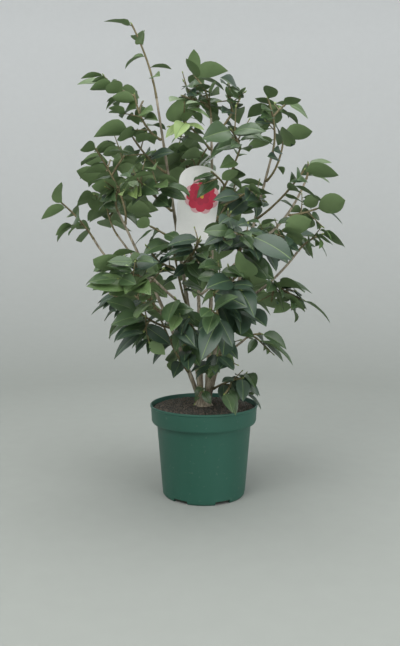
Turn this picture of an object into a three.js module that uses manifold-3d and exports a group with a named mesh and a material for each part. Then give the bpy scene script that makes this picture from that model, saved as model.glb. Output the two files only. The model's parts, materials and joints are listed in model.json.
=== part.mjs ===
// A camellia shrub in its nursery pot, as separate closed solids: the pot, its growing medium, the root
// crown, the stems, the boughs, the masses of foliage and a hanging plant label.
// Millimetres, +Z up, +X to the right and +Y to the back. The origin is the centre of the pot's underside.
import * as THREE from "three";
import { mergeVertices } from "three/addons/utils/BufferGeometryUtils.js";
import Module from "manifold-3d";

const wasm = await Module();
wasm.setup();

// ---- Pot: a 5 litre moulded container ----
const POT_HEIGHT = 186;
const RIM_RADIUS = 110;
const BASE_RADIUS = 85;
const SHOULDER_RADIUS = 96.5; // the body just under the rim band
const BAND_HEIGHT = 36;
const BAND_FOOT_RADIUS = 105.5;
const WALL = 2.4;
const LIP = 2.8; // the wall is a little thicker at the rim
const FLOOR = 3;
const POT_SIDES = 32;
const NOTCH_COUNT = 6; // drain notches in the foot, seen as a castellated lower edge
const NOTCH_HEIGHT = 7;
const NOTCH_WIDTH = 32;
const NOTCH_DEPTH = 15;
const NOTCH_TURN = 56; // degrees from +X to the first notch

// ---- Growing medium and root crown ----
const GAP = 0.3; // between solids that touch on the real plant
const SOIL_LEVEL = 181;
const SOIL_SIDES = 20;
const CROWN_HEIGHT = 13;
const CROWN_RADIUS = 14.5;
const CROWN_SIDES = 12;
const FLARE_RADIUS = 20;
const STEM_RING = 10; // the stems' feet stand on this circle

// ---- Twigs ----
const TWIG_FOOT_RADIUS = 2.5;
const TWIG_TIP_RADIUS = 1.8;
const SIDE_TWIG_AT = 0.34; // share of the main twig where the first side twig leaves it
const SIDE_TWIG_STEP = 0.3;
const SIDE_TWIG_JITTER = 0.1; // the most that the dice add to that
const SIDE_TWIG_FOOT_RADIUS = 2.125;
const SIDE_TWIG_OUT = 0.9; // shares of its reach that a side twig goes outward, along and up
const SIDE_TWIG_ON = 0.4;
const SIDE_TWIG_RISE = 0.15;
const SIDE_START_OUT = 0.8; // how it leaves the main twig: outward and along
const SIDE_START_ON = 0.6;
const SIDE_TWIG_REACH = 46;
const SIDE_TWIG_SPREAD = 30; // the most that the dice add to the reach

// ---- Leaves ----
const DICE_START = 45345; // where every mass's dice are counted from
const GOLDEN = 137.508; // degrees between one leaf and the next round a twig
const LIFT = 8; // degrees that a leaf at a twig's foot leans along the twig
const LIFT_AT_TIP = 34; // more than that at its tip
const LIFT_SPREAD = 14;
const RISE_KEPT = 0.3; // share of its rise that a leaf keeps under its weight
const DROOP = 0.9; // the most that a leaf hangs, near the ground
const PLANT_TOP = 950; // at this height leaves no longer hang
const FACING_RADIUS = 140; // a blade this far from the middle of the plant faces half outward, half up
const FACING_SPREAD = 1.3; // how far the dice tip it any way from there
const LEAF_SHORTEST = 0.76; // leaf lengths against the mass's own
const LEAF_LENGTH_SPREAD = 0.4;
const LEAF_SLIMMEST = 0.46; // leaf widths against their lengths
const LEAF_WIDTH_SPREAD = 0.12;
const ARCH_LEAST = 0.1; // how far a leaf's tip drops, as a share of its length
const ARCH_SPREAD = 0.28;
const LEAF_KEEL = 2.0; // thickness under the midrib
const ROOT_DEPTH = 0.75; // half the height of the edge that a leaf starts from, inside its twig
const BLADE_STATIONS = [0.4, 0.74]; // where the blade is cut across, as shares of its length
const FIRST_LEAF_AT = 0.28; // along a main twig
const FIRST_SIDE_LEAF_AT = 0.42; // along a side twig
const LAST_LEAF_AT = 0.985;
const LEAF_CROWDING = 1.15; // above 1, leaves stand closer towards the tip
const LEAF_TRIES = 14;
const TRY_TURN = 47; // degrees that each new try turns a leaf round its twig
const TRY_SHRINK = 0.035; // share of its length that a leaf loses with each try

// ---- Room kept between things ----
const SPACE_MARGIN = 1.6;
const LIMB_CLEAR = 4.5;
const TWIG_CLEAR = 3;
const LEAF_CLEAR = 7.5;
const SOIL_CLEAR = 8;
const RIM_CLEAR = 6;
const RIM_REACH = 12; // this far inside the rim, leaves keep clear of it and no longer of the soil
const ROOT_SHARE = 0.3; // the part of a leaf that may stand close to its own twig and neighbours
const FUSE_TOLERANCE = 0.1; // slivers thinner than this are taken out of a fused mass

// Stems: name, compass turn of the foot, head, foot and head radius, lean at the foot in degrees.
const STEMS = [
  ["stem_right", 0, [136, 0, 690], 4.8, 2.2, 14],
  ["stem_centre", 60, [14, 6, 760], 4.8, 2.2, 4],
  ["stem_back", 120, [-18, 140, 640], 4.8, 2.2, 16],
  ["stem_left", 180, [-172, 0, 575], 4.8, 2.2, 20],
  ["stem_leader", 240, [-93, -12, 793], 5.0, 2.2, 8],
  ["stem_front", 300, [62, -118, 470], 4.6, 2.2, 16],
];

// Boughs: name, the limb that carries it, how far along that limb, head, foot and head radius.
const BOUGHS = [
  ["bough_far_left", "stem_left", 0.62, [-222, 4, 520], 3.0, 2.2],
  ["bough_right_out", "stem_right", 0.66, [205, 6, 640], 3.0, 2.2],
  ["bough_right_arm", "stem_right", 0.42, [188, -10, 496], 3.0, 2.2],
  ["bough_right_low", "stem_right", 0.2, [84, -44, 326], 2.8, 2.2],
  ["bough_front_left", "stem_leader", 0.2, [-84, -130, 384], 3.0, 2.2],
  ["bough_back_left", "stem_back", 0.4, [-192, 150, 534], 3.0, 2.2],
  ["bough_back_right", "stem_back", 0.5, [98, 172, 500], 3.0, 2.2],
];

// Masses of foliage: name, the limb that carries it, how far along, tip of its main twig, leaf length,
// room along a twig for each leaf, number of side twigs.
const MASSES = [
  ["foliage_whip", "stem_leader", 1, [-140, -14, 932], 56, 27, 0],
  ["foliage_upper_left", "stem_leader", 0.88, [-136, -14, 800], 68, 14, 3],
  ["foliage_leader_side", "stem_leader", 0.78, [-144, -34, 724], 70, 14, 2],
  ["foliage_left_shoulder", "stem_leader", 0.66, [-140, -66, 644], 74, 14, 3],
  ["foliage_left_outer", "stem_left", 0.94, [-220, 26, 704], 70, 15, 2],
  ["foliage_left_inner", "stem_left", 1, [-162, -30, 626], 78, 14, 3],
  ["foliage_far_left", "bough_far_left", 1, [-284, -4, 592], 80, 19, 0],
  ["foliage_left_side", "stem_left", 0.5, [-206, 30, 484], 62, 15, 2],
  ["foliage_left_low", "stem_left", 0.34, [-176, -26, 408], 68, 14, 2],
  ["foliage_bottom_left", "stem_left", 0.16, [-92, -60, 384], 64, 15, 1],
  ["foliage_front_left", "bough_front_left", 1, [-104, -150, 444], 78, 14, 3],
  ["foliage_front_left_low", "bough_front_left", 0.55, [-120, -120, 382], 76, 14, 3],
  ["foliage_front_low", "stem_front", 0.4, [-52, -150, 408], 76, 14, 3],
  ["foliage_middle", "stem_leader", 0.34, [-60, -60, 512], 74, 14, 3],
  ["foliage_heart", "stem_leader", 0.46, [-30, -112, 472], 78, 13, 3],
  ["foliage_top", "stem_centre", 1, [2, 0, 812], 76, 13, 3],
  ["foliage_upper_centre", "stem_centre", 0.9, [-36, -46, 740], 76, 14, 3],
  ["foliage_upper_flank", "stem_centre", 0.94, [70, -16, 792], 84, 14, 2],
  ["foliage_upper_right", "stem_centre", 0.72, [68, -62, 688], 78, 14, 3],
  ["foliage_right_top", "stem_right", 1, [126, 0, 796], 70, 15, 2],
  ["foliage_right_shoulder", "stem_right", 0.9, [156, -20, 716], 70, 15, 2],
  ["foliage_right_inner", "stem_right", 0.78, [84, -96, 606], 76, 14, 3],
  ["foliage_right_middle", "stem_right", 0.58, [152, -64, 536], 76, 14, 3],
  ["foliage_right_outer", "bough_right_out", 1, [208, 4, 670], 64, 16, 2],
  ["foliage_right_side", "bough_right_out", 0.6, [252, 40, 592], 70, 16, 1],
  ["foliage_right_arm", "bough_right_arm", 1, [236, -8, 530], 66, 16, 2],
  ["foliage_right_low", "bough_right_arm", 0.5, [148, -30, 426], 74, 14, 2],
  ["foliage_front_right", "stem_front", 1, [60, -144, 520], 78, 13, 3],
  ["foliage_front_centre", "stem_front", 0.66, [16, -176, 420], 78, 14, 3],
  ["foliage_bottom_right", "bough_right_low", 1, [112, -50, 334], 72, 15, 1],
  ["foliage_bottom_centre", "stem_front", 0.24, [38, -88, 334], 62, 15, 2],
  ["foliage_rim", "stem_right", 0.05, [74, -70, 250], 66, 14, 2],
  ["foliage_foot", "stem_leader", 0.05, [-2, -40, 220], 36, 14, 0],
  ["foliage_back_top", "stem_back", 1, [-52, 146, 702], 84, 15, 3],
  ["foliage_back_upper", "stem_back", 0.78, [72, 160, 640], 84, 15, 2],
  ["foliage_back_left", "bough_back_left", 1, [-220, 160, 664], 84, 15, 3],
  ["foliage_back_right", "bough_back_right", 1, [150, 168, 544], 84, 15, 3],
  ["foliage_back_centre", "stem_back", 0.56, [-12, 214, 502], 84, 15, 2],
  ["foliage_back_left_low", "bough_back_left", 0.5, [-128, 160, 384], 80, 15, 2],
  ["foliage_back_right_low", "bough_back_right", 0.4, [112, 180, 392], 80, 15, 2],
  ["foliage_back_low", "stem_back", 0.2, [-18, 150, 322], 78, 15, 1],
  ["foliage_right_flank", "stem_right", 0.76, [190, -60, 648], 70, 14, 2],
];

// ---- Plant label ----
const LABEL_CENTRE = [-12, -30, 590];
const LABEL_WIDTH = 82;
const LABEL_HEIGHT = 142;
const LABEL_THICKNESS = 1.2;
const LABEL_TURN = 6; // degrees, its top to the right
const LABEL_CLEAR = 15; // room left before and behind it
const LABEL_SIDE_CLEAR = 10; // room left to its left and right
const LABEL_END_CLEAR = 8; // room left over and under it
const LABEL_FOOT_SHARE = 0.9; // its foot is a little narrower than its shoulders
const LABEL_ARCH_SHARE = 0.8; // height of the arched top, as a share of half the width
const LABEL_ARCH_PULL = 26; // how far the arch runs straight up from the shoulders
const LABEL_ARCH_FLAT = 14; // how far it runs level on each side of its top
const STRAP_WIDTH = 4;
const STRAP_THICKNESS = 0.9;
const STRAP_RISE = 24; // from the card to the loop round the stem
const STRAP_LOOP_CLEAR = 5; // from the stem's bark to the middle of the strap
const STRAP_ENDS_APART = 8;
const STRAP_END_LIFT = 1.2; // the strap's ends stop this far above the card
const STRAP_TURNS = [215, 165, 90, 15, -35]; // degrees, where the loop passes round the stem

// ---- Materials ----
const finish = (color, roughness) => new THREE.MeshStandardMaterial({ color, roughness, metalness: 0 });
const potGreen = finish("#2c5f4c", 0.5);
const peat = finish("#3a2d27", 0.95);
const bark = finish("#6b5a48", 0.85);
const leafGreen = finish("#2f4a28", 0.4);
const card = finish("#d9dcd8", 0.45);

const radians = THREE.MathUtils.degToRad;
const vector = (xyz) => new THREE.Vector3(...xyz);
const plant = new THREE.Group();

function place(name, geometry, material) {
  const mesh = new THREE.Mesh(geometry, material);
  mesh.name = name;
  plant.add(mesh);
  return mesh;
}

// ---- Booleans ----
function solidFrom(geometry) {
  const bare = geometry.index ? geometry.toNonIndexed() : geometry.clone();
  bare.deleteAttribute("normal");
  bare.deleteAttribute("uv");
  const merged = mergeVertices(bare, 1e-4);
  return new wasm.Manifold(
    new wasm.Mesh({
      numProp: 3,
      vertProperties: new Float32Array(merged.attributes.position.array),
      triVerts: new Uint32Array(merged.index.array),
    }),
  );
}

function geometryFrom(solid) {
  const { vertProperties, triVerts, numProp, numVert } = solid.getMesh();
  const positions = new Float32Array(numVert * 3);
  for (let i = 0; i < numVert; i++) {
    positions.set(vertProperties.subarray(i * numProp, i * numProp + 3), i * 3);
  }
  const geometry = new THREE.BufferGeometry();
  geometry.setAttribute("position", new THREE.BufferAttribute(positions, 3));
  geometry.setIndex(new THREE.BufferAttribute(triVerts, 1));
  return geometry;
}

// A closed ring of profile points turned round the upright axis.
function turned(profile, sides) {
  const points = profile.map(([radius, height]) => new THREE.Vector2(radius, height));
  return new THREE.LatheGeometry(points, sides).rotateX(Math.PI / 2);
}

// ---- Pot ----
function makePot() {
  const bandFoot = POT_HEIGHT - BAND_HEIGHT;
  const profile = [
    [0, 0],
    [BASE_RADIUS - 2, 0],
    [BASE_RADIUS, 3],
    [SHOULDER_RADIUS, bandFoot - 2],
    [BAND_FOOT_RADIUS, bandFoot],
    [BAND_FOOT_RADIUS + 1.6, bandFoot + 4],
    [RIM_RADIUS - 1.4, POT_HEIGHT - 5],
    [RIM_RADIUS, POT_HEIGHT - 4],
    [RIM_RADIUS, POT_HEIGHT],
    [RIM_RADIUS - LIP, POT_HEIGHT],
    [BAND_FOOT_RADIUS - WALL, bandFoot + 3],
    [SHOULDER_RADIUS - WALL, bandFoot - 2],
    [BASE_RADIUS - WALL, FLOOR],
    [0, FLOOR],
  ];
  let pot = solidFrom(turned(profile, POT_SIDES));
  for (let i = 0; i < NOTCH_COUNT; i++) {
    const turn = radians(NOTCH_TURN + (360 / NOTCH_COUNT) * i);
    const notch = new THREE.BoxGeometry(NOTCH_DEPTH * 2, NOTCH_WIDTH, NOTCH_HEIGHT * 2);
    notch.translate(BASE_RADIUS + 1, 0, 0).rotateZ(turn);
    pot = pot.subtract(solidFrom(notch));
  }
  return geometryFrom(pot);
}

// The growing medium fills the pot GAP clear of its wall and sinks a little towards the rim.
function makeSoil() {
  const bandFoot = POT_HEIGHT - BAND_HEIGHT;
  const edgeRadius = (RIM_RADIUS + BAND_FOOT_RADIUS) / 2 - WALL - 1.6;
  const profile = [
    [0, FLOOR + GAP],
    [BASE_RADIUS - WALL - 2 * GAP, FLOOR + GAP],
    [SHOULDER_RADIUS - WALL - 2 * GAP, bandFoot - 2],
    [BAND_FOOT_RADIUS - WALL - 2 * GAP, bandFoot + 3 + GAP],
    [edgeRadius, SOIL_LEVEL - 3],
    [edgeRadius - 18, SOIL_LEVEL - 1],
    [FLARE_RADIUS * 1.5, SOIL_LEVEL],
    [0, SOIL_LEVEL],
  ];
  return turned(profile, SOIL_SIDES);
}

// The short trunk that all the stems rise from, flared where it enters the soil.
function makeRootCrown() {
  const foot = SOIL_LEVEL + GAP;
  const profile = [
    [0, foot],
    [FLARE_RADIUS, foot],
    [FLARE_RADIUS * 0.82, foot + CROWN_HEIGHT * 0.25],
    [CROWN_RADIUS + 0.6, foot + CROWN_HEIGHT * 0.6],
    [CROWN_RADIUS, foot + CROWN_HEIGHT],
    [0, foot + CROWN_HEIGHT],
  ];
  return turned(profile, CROWN_SIDES);
}

// ---- Limbs ----
// A limb is a quadratic curve that leaves its foot along `start` and ends at its head.
const LIMB_REACH = 0.45;
const BRANCH_OUT = 0.78;
const BRANCH_ALONG = 0.62;

function makeLimb(name, foot, start, head, footRadius, headRadius) {
  const length = head.distanceTo(foot);
  const control = foot.clone().addScaledVector(start, length * LIMB_REACH);
  const curve = new THREE.QuadraticBezierCurve3(foot, control, head);
  return { name, curve, foot, head, length, footRadius, headRadius };
}

const pointOn = (limb, t) => limb.curve.getPoint(t);
const radiusOn = (limb, t) => limb.footRadius + (limb.headRadius - limb.footRadius) * t;

function directionOn(limb, t) {
  const { v0, v1, v2 } = limb.curve;
  const along = v1.clone().sub(v0).multiplyScalar(1 - t);
  return along.addScaledVector(v2.clone().sub(v1), t).normalize();
}

function makeStem([name, turn, head, footRadius, headRadius, lean]) {
  const angle = radians(turn);
  const tilt = radians(lean);
  const level = SOIL_LEVEL + CROWN_HEIGHT + 2 * GAP + footRadius * Math.sin(tilt);
  const foot = new THREE.Vector3(STEM_RING * Math.cos(angle), STEM_RING * Math.sin(angle), level);
  const tip = vector(head);
  const outward = new THREE.Vector3(tip.x - foot.x, tip.y - foot.y, 0).normalize();
  const start = outward.multiplyScalar(Math.sin(tilt)).setZ(Math.cos(tilt));
  return makeLimb(name, foot, start, tip, footRadius, headRadius);
}

// A limb that grows on from its parent's tip keeps the parent's direction, and one from its side leaves
// at about 50 degrees. Both stand GAP clear of the parent.
function makeBranch(name, parent, at, head, footRadius, headRadius) {
  const tip = vector(head);
  const from = pointOn(parent, at);
  const along = directionOn(parent, at);
  if (at === 1) {
    return makeLimb(name, from.addScaledVector(along, GAP), along, tip, footRadius, headRadius);
  }
  const side = tip.clone().sub(from);
  side.addScaledVector(along, -side.dot(along)).normalize();
  const foot = from.addScaledVector(side, radiusOn(parent, at) + footRadius + GAP);
  const start = side.clone().multiplyScalar(BRANCH_OUT).addScaledVector(along, BRANCH_ALONG).normalize();
  return makeLimb(name, foot, start, tip, footRadius, headRadius);
}

// A tapering closed tube: a cylinder whose rings are set across the limb's curve.
function limbGeometry(limb, sides, segments) {
  const tube = new THREE.CylinderGeometry(1, 1, 1, sides, segments);
  const frames = limb.curve.computeFrenetFrames(segments);
  const position = tube.attributes.position;
  const vertex = new THREE.Vector3();
  for (let i = 0; i < position.count; i++) {
    vertex.fromBufferAttribute(position, i);
    const ring = Math.round((vertex.y + 0.5) * segments);
    const t = ring / segments;
    const radius = radiusOn(limb, t);
    const across = frames.normals[ring].clone().multiplyScalar(-vertex.x * radius);
    across.addScaledVector(frames.binormals[ring], vertex.z * radius);
    const placed = pointOn(limb, t).add(across);
    position.setXYZ(i, placed.x, placed.y, placed.z);
  }
  tube.deleteAttribute("normal");
  tube.deleteAttribute("uv");
  return mergeVertices(tube, 1e-4);
}

// ---- Growth of a mass ----
// Repeatable dice, from 0 to 1.
function makeDice(seed) {
  let state = (seed * 7919 + DICE_START) % 2147483647;
  return () => {
    state = (state * 16807) % 2147483647;
    return state / 2147483647;
  };
}

function segmentsOf(limb, count) {
  const segments = [];
  for (let i = 0; i < count; i++) {
    const a = pointOn(limb, i / count);
    const b = pointOn(limb, (i + 1) / count);
    segments.push({ a, b, radius: radiusOn(limb, i / count) });
  }
  return segments;
}

function distanceToSegment(point, a, b) {
  const along = b.clone().sub(a);
  const t = Math.min(1, Math.max(0, point.clone().sub(a).dot(along) / along.lengthSq()));
  return point.distanceTo(a.clone().addScaledVector(along, t));
}

// The unit vector that leaves a twig's axis at `turn` degrees round it.
function radialOf(along, turn) {
  const reference = Math.abs(along.z) > 0.9 ? new THREE.Vector3(1, 0, 0) : new THREE.Vector3(0, 0, 1);
  const u = new THREE.Vector3().crossVectors(along, reference).normalize();
  const v = new THREE.Vector3().crossVectors(along, u);
  const angle = radians(turn);
  return u.multiplyScalar(Math.cos(angle)).addScaledVector(v, Math.sin(angle));
}

// Half the blade's width at a share s of its length.
function halfWidth(leaf, s) {
  return s <= 0 || s >= 1 ? 0 : leaf.width * 0.5 * Math.pow(Math.sin(Math.PI * Math.pow(s, 0.85)), 0.8);
}

// A point of the blade: s runs from root to tip and across from -1 to 1. The blade arches down.
function bladePoint(leaf, s, across) {
  return leaf.root
    .clone()
    .addScaledVector(leaf.along, leaf.length * s)
    .addScaledVector(leaf.normal, -leaf.length * leaf.arch * s * s)
    .addScaledVector(leaf.side, across * halfWidth(leaf, s));
}

function bladeSamples(leaf) {
  const samples = [];
  for (const s of [0.3, 0.5, 0.7, 0.88, 1]) {
    for (const across of s === 1 ? [0] : [-1, -0.5, 0, 0.5, 1]) {
      samples.push({ s, point: bladePoint(leaf, s, across) });
    }
  }
  return samples;
}

function makeLeaf(twig, t, turn, lift, size, dice) {
  const along = directionOn(twig, t);
  const out = radialOf(along, turn);
  const angle = radians(lift);
  const pointing = out.multiplyScalar(Math.cos(angle)).addScaledVector(along, Math.sin(angle));
  const root = pointOn(twig, t);
  pointing.z = RISE_KEPT * pointing.z - DROOP * dice() * (1 - root.z / PLANT_TOP);
  pointing.normalize();
  const outward = new THREE.Vector3(root.x, root.y, 0).multiplyScalar(1 / FACING_RADIUS);
  const loose = [dice(), dice()].map((throwOfDice) => FACING_SPREAD * (throwOfDice - 0.5));
  const normal = outward.add(new THREE.Vector3(...loose, 1));
  normal.addScaledVector(pointing, -normal.dot(pointing)).normalize();
  const length = size * (LEAF_SHORTEST + LEAF_LENGTH_SPREAD * dice());
  return {
    root,
    along: pointing,
    normal,
    side: new THREE.Vector3().crossVectors(pointing, normal),
    length,
    width: length * (LEAF_SLIMMEST + LEAF_WIDTH_SPREAD * dice()),
    arch: ARCH_LEAST + ARCH_SPREAD * dice(),
  };
}

// True where a point is nearer to this mass's own line than to any other mass's.
function inOwnSpace(point, mass, masses) {
  const own = distanceToSegment(point, mass.twig.foot, mass.twig.head) + SPACE_MARGIN;
  return masses.every(
    (other) => other === mass || distanceToSegment(point, other.twig.foot, other.twig.head) > own,
  );
}

function clearOfPot(point) {
  const out = Math.hypot(point.x, point.y);
  const floor = out > RIM_RADIUS - RIM_REACH ? POT_HEIGHT + RIM_CLEAR : SOIL_LEVEL + SOIL_CLEAR;
  return out > RIM_RADIUS + RIM_CLEAR || point.z > floor;
}

// Room kept free round the label and round the strap above it.
const [labelX, labelY, labelZ] = LABEL_CENTRE;
const labelTop = labelZ + LABEL_HEIGHT / 2;
const labelFoot = labelZ - LABEL_HEIGHT / 2;
const KEEP_OUT = [
  [LABEL_WIDTH / 2 + LABEL_SIDE_CLEAR, LABEL_CLEAR, labelFoot - LABEL_END_CLEAR, labelTop + LABEL_END_CLEAR],
  [LABEL_WIDTH / 2, -2 * labelY, labelTop, labelTop + STRAP_RISE + LABEL_END_CLEAR],
];

const clearOfLabel = (point) =>
  KEEP_OUT.every(([halfX, halfY, low, high]) => {
    const beside = Math.abs(point.x - labelX) > halfX || Math.abs(point.y - labelY) > halfY;
    return beside || point.z < low || point.z > high;
  });

const clearOfSegments = (point, segments, clearance) =>
  segments.every(({ a, b, radius }) => distanceToSegment(point, a, b) > radius + clearance);

function placeFree(point, mass, masses, limbSegments) {
  return (
    inOwnSpace(point, mass, masses) &&
    clearOfPot(point) &&
    clearOfLabel(point) &&
    clearOfSegments(point, limbSegments, LIMB_CLEAR)
  );
}

function leafFits(samples, mass, masses, limbSegments) {
  const beyondRoot = samples.filter(({ s }) => s >= ROOT_SHARE);
  return (
    samples.every(({ point }) => placeFree(point, mass, masses, limbSegments)) &&
    beyondRoot.every(({ point }) => clearOfSegments(point, mass.twigSegments, TWIG_CLEAR)) &&
    beyondRoot.every(({ point }) => mass.taken.every((other) => point.distanceTo(other) > LEAF_CLEAR))
  );
}

// Leaves stand alternately along a twig, closer and more upright towards its tip. The tip's grow first.
function growLeaves(mass, masses, twig, limbSegments, from, dice) {
  const phase = 360 * dice();
  const along = Math.max(1, Math.round((twig.length * (1 - from)) / mass.leafRoom));
  let grown = 0;
  for (let i = along + 1; i >= 0; i--) {
    const share = 1 - Math.pow(1 - i / (along + 1), LEAF_CROWDING);
    const t = from + (LAST_LEAF_AT - from) * share;
    const lift = LIFT + LIFT_AT_TIP * share * share + LIFT_SPREAD * dice();
    for (let attempt = 0; attempt < LEAF_TRIES; attempt++) {
      const size = mass.leafLength * (1 - TRY_SHRINK * attempt);
      const leaf = makeLeaf(twig, t, phase + GOLDEN * i + TRY_TURN * attempt, lift, size, dice);
      const samples = bladeSamples(leaf);
      if (!leafFits(samples, mass, masses, limbSegments)) continue;
      mass.leaves.push(leaf);
      mass.taken.push(...samples.filter(({ s }) => s >= ROOT_SHARE).map(({ point }) => point));
      grown++;
      break;
    }
  }
  return grown;
}

function growMass(mass, masses, limbSegments) {
  const dice = makeDice(masses.indexOf(mass) + 1);
  const twigs = [mass.twig];
  mass.twigSegments = segmentsOf(mass.twig, 6);
  for (let i = 0; i < mass.sideTwigs; i++) {
    const t = SIDE_TWIG_AT + SIDE_TWIG_STEP * i + SIDE_TWIG_JITTER * dice();
    const along = directionOn(mass.twig, t);
    const reach = SIDE_TWIG_REACH + SIDE_TWIG_SPREAD * dice();
    const out = radialOf(along, 360 * dice() + GOLDEN * i);
    const foot = pointOn(mass.twig, t);
    const head = foot.clone().addScaledVector(out, reach * SIDE_TWIG_OUT);
    head.addScaledVector(along, reach * SIDE_TWIG_ON);
    head.z += reach * SIDE_TWIG_RISE;
    const start = out.multiplyScalar(SIDE_START_OUT).addScaledVector(along, SIDE_START_ON).normalize();
    const twig = makeLimb(mass.name, foot, start, head, SIDE_TWIG_FOOT_RADIUS, TWIG_TIP_RADIUS);
    const probes = [0.4, 0.7, 1].map((share) => pointOn(twig, share));
    if (!probes.every((point) => placeFree(point, mass, masses, limbSegments))) continue;
    twigs.push(twig);
    mass.twigSegments.push(...segmentsOf(twig, 3));
  }
  mass.twigs = twigs.filter((twig) => {
    const from = twig === mass.twig ? FIRST_LEAF_AT : FIRST_SIDE_LEAF_AT;
    return growLeaves(mass, masses, twig, limbSegments, from, dice) > 0 || twig === mass.twig;
  });
}

// A leaf's solid: a keeled blade with a flat top, from an upright edge inside the twig to a pointed tip.
function leafGeometry(leaf) {
  const points = [1, -1].map((up) => leaf.root.clone().addScaledVector(leaf.normal, up * ROOT_DEPTH));
  for (const s of BLADE_STATIONS) {
    const middle = bladePoint(leaf, s, 0).addScaledVector(leaf.normal, LEAF_KEEL / 2);
    points.push(middle.clone().addScaledVector(leaf.side, -halfWidth(leaf, s)));
    points.push(middle.clone().addScaledVector(leaf.side, halfWidth(leaf, s)));
    points.push(middle.clone().addScaledVector(leaf.normal, -LEAF_KEEL));
  }
  points.push(bladePoint(leaf, 1, 0));
  const faces = [0, 3, 2, 0, 1, 3, 1, 4, 3, 1, 0, 2, 1, 2, 4];
  const last = points.length - 4;
  for (let row = 2; row <= last; row += 3) {
    for (let k = 0; k < 3; k++) {
      const a = row + k;
      const b = row + ((k + 1) % 3);
      if (row === last) faces.push(a, b, points.length - 1);
      else faces.push(a, b, b + 3, a, b + 3, a + 3);
    }
  }
  const geometry = new THREE.BufferGeometry().setFromPoints(points);
  geometry.setIndex(faces);
  return geometry;
}

function massGeometry(mass) {
  let solid = solidFrom(limbGeometry(mass.twig, 3, 4));
  for (const twig of mass.twigs.slice(1)) solid = solid.add(solidFrom(limbGeometry(twig, 3, 2)));
  for (const leaf of mass.leaves) solid = solid.add(solidFrom(leafGeometry(leaf)));
  const bodies = solid.decompose().sort((a, b) => b.volume() - a.volume());
  return geometryFrom(bodies[0].asOriginal().simplify(FUSE_TOLERANCE));
}

// ---- Plant label: a card with an arched top, held by a thin strap looped round the centre stem ----
function makeLabel() {
  const half = LABEL_WIDTH / 2;
  const top = LABEL_HEIGHT / 2;
  const shoulder = top - half * LABEL_ARCH_SHARE;
  const pull = shoulder + LABEL_ARCH_PULL;
  const outline = new THREE.Shape();
  outline.moveTo(-half * LABEL_FOOT_SHARE, -top);
  outline.lineTo(half * LABEL_FOOT_SHARE, -top);
  outline.lineTo(half, shoulder);
  outline.bezierCurveTo(half, pull, LABEL_ARCH_FLAT, top, 0, top);
  outline.bezierCurveTo(-LABEL_ARCH_FLAT, top, -half, pull, -half, shoulder);
  const options = { depth: LABEL_THICKNESS, bevelEnabled: false, curveSegments: 6 };
  const geometry = new THREE.ExtrudeGeometry(outline, options);
  return geometry.rotateX(Math.PI / 2).rotateY(radians(LABEL_TURN)).translate(...LABEL_CENTRE);
}

function makeStrap(centreStem) {
  const tilt = radians(LABEL_TURN);
  const reach = LABEL_HEIGHT / 2 + GAP;
  const [x, y, z] = LABEL_CENTRE;
  const top = new THREE.Vector3(x, y - LABEL_THICKNESS / 2, z);
  top.add(new THREE.Vector3(Math.sin(tilt), 0, Math.cos(tilt)).multiplyScalar(reach));
  const loopHeight = top.z + STRAP_RISE;
  const share = (loopHeight - centreStem.foot.z) / (centreStem.head.z - centreStem.foot.z);
  const middle = pointOn(centreStem, share);
  const loop = radiusOn(centreStem, share) + STRAP_LOOP_CLEAR;
  const ends = [-0.5, 0.5].map(
    (side) => new THREE.Vector3(top.x + side * STRAP_ENDS_APART, top.y, top.z + STRAP_END_LIFT),
  );
  const ring = STRAP_TURNS.map((turn) => {
    const angle = radians(turn);
    const out = new THREE.Vector3(Math.cos(angle), Math.sin(angle), 0).multiplyScalar(loop);
    return new THREE.Vector3(middle.x, middle.y, loopHeight).add(out);
  });
  const path = new THREE.CatmullRomCurve3([ends[0], ...ring, ends[1]]);
  const section = new THREE.Shape();
  section.moveTo(-STRAP_THICKNESS / 2, -STRAP_WIDTH / 2);
  section.lineTo(STRAP_THICKNESS / 2, -STRAP_WIDTH / 2);
  section.lineTo(STRAP_THICKNESS / 2, STRAP_WIDTH / 2);
  section.lineTo(-STRAP_THICKNESS / 2, STRAP_WIDTH / 2);
  return new THREE.ExtrudeGeometry(section, { extrudePath: path, steps: 18, bevelEnabled: false });
}

// ---- Assembly ----
place("pot", makePot(), potGreen);
place("growing_medium", makeSoil(), peat);
place("root_crown", makeRootCrown(), bark);

const limbs = new Map();
for (const row of STEMS) limbs.set(row[0], makeStem(row));
for (const [name, parent, at, head, footRadius, headRadius] of BOUGHS) {
  limbs.set(name, makeBranch(name, limbs.get(parent), at, head, footRadius, headRadius));
}
for (const limb of limbs.values()) {
  const [sides, segments] = limb.name.startsWith("stem") ? [6, 7] : [5, 5];
  place(limb.name, limbGeometry(limb, sides, segments), bark);
}

const masses = MASSES.map(([name, parent, at, head, leafLength, leafRoom, sideTwigs]) => {
  const footRadius = at === 1 ? limbs.get(parent).headRadius : TWIG_FOOT_RADIUS;
  const twig = makeBranch(name, limbs.get(parent), at, head, footRadius, TWIG_TIP_RADIUS);
  return { name, twig, leafLength, leafRoom, sideTwigs, leaves: [], taken: [] };
});
const limbSegments = [...limbs.values()].flatMap((limb) => segmentsOf(limb, 8));
for (const mass of masses) {
  growMass(mass, masses, limbSegments);
  place(mass.name, massGeometry(mass), leafGreen);
}

place("plant_label", makeLabel(), card);
place("label_strap", makeStrap(limbs.get("stem_centre")), card);

export default plant;
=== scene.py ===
"""A camellia shrub in its nursery pot: the moulded pot, the growing medium, bark-covered stems that branch
into twigs, waxed leaves whose colours are dealt out by spray, and a hanging plant label.

Millimetres in the tables and in the growth, metres in every mesh. +Z up, +X to the right, +Y to the back.
"""

import json
import math

import bmesh
import bpy
import numpy as np
from mathutils import Matrix, Vector, noise

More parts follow.
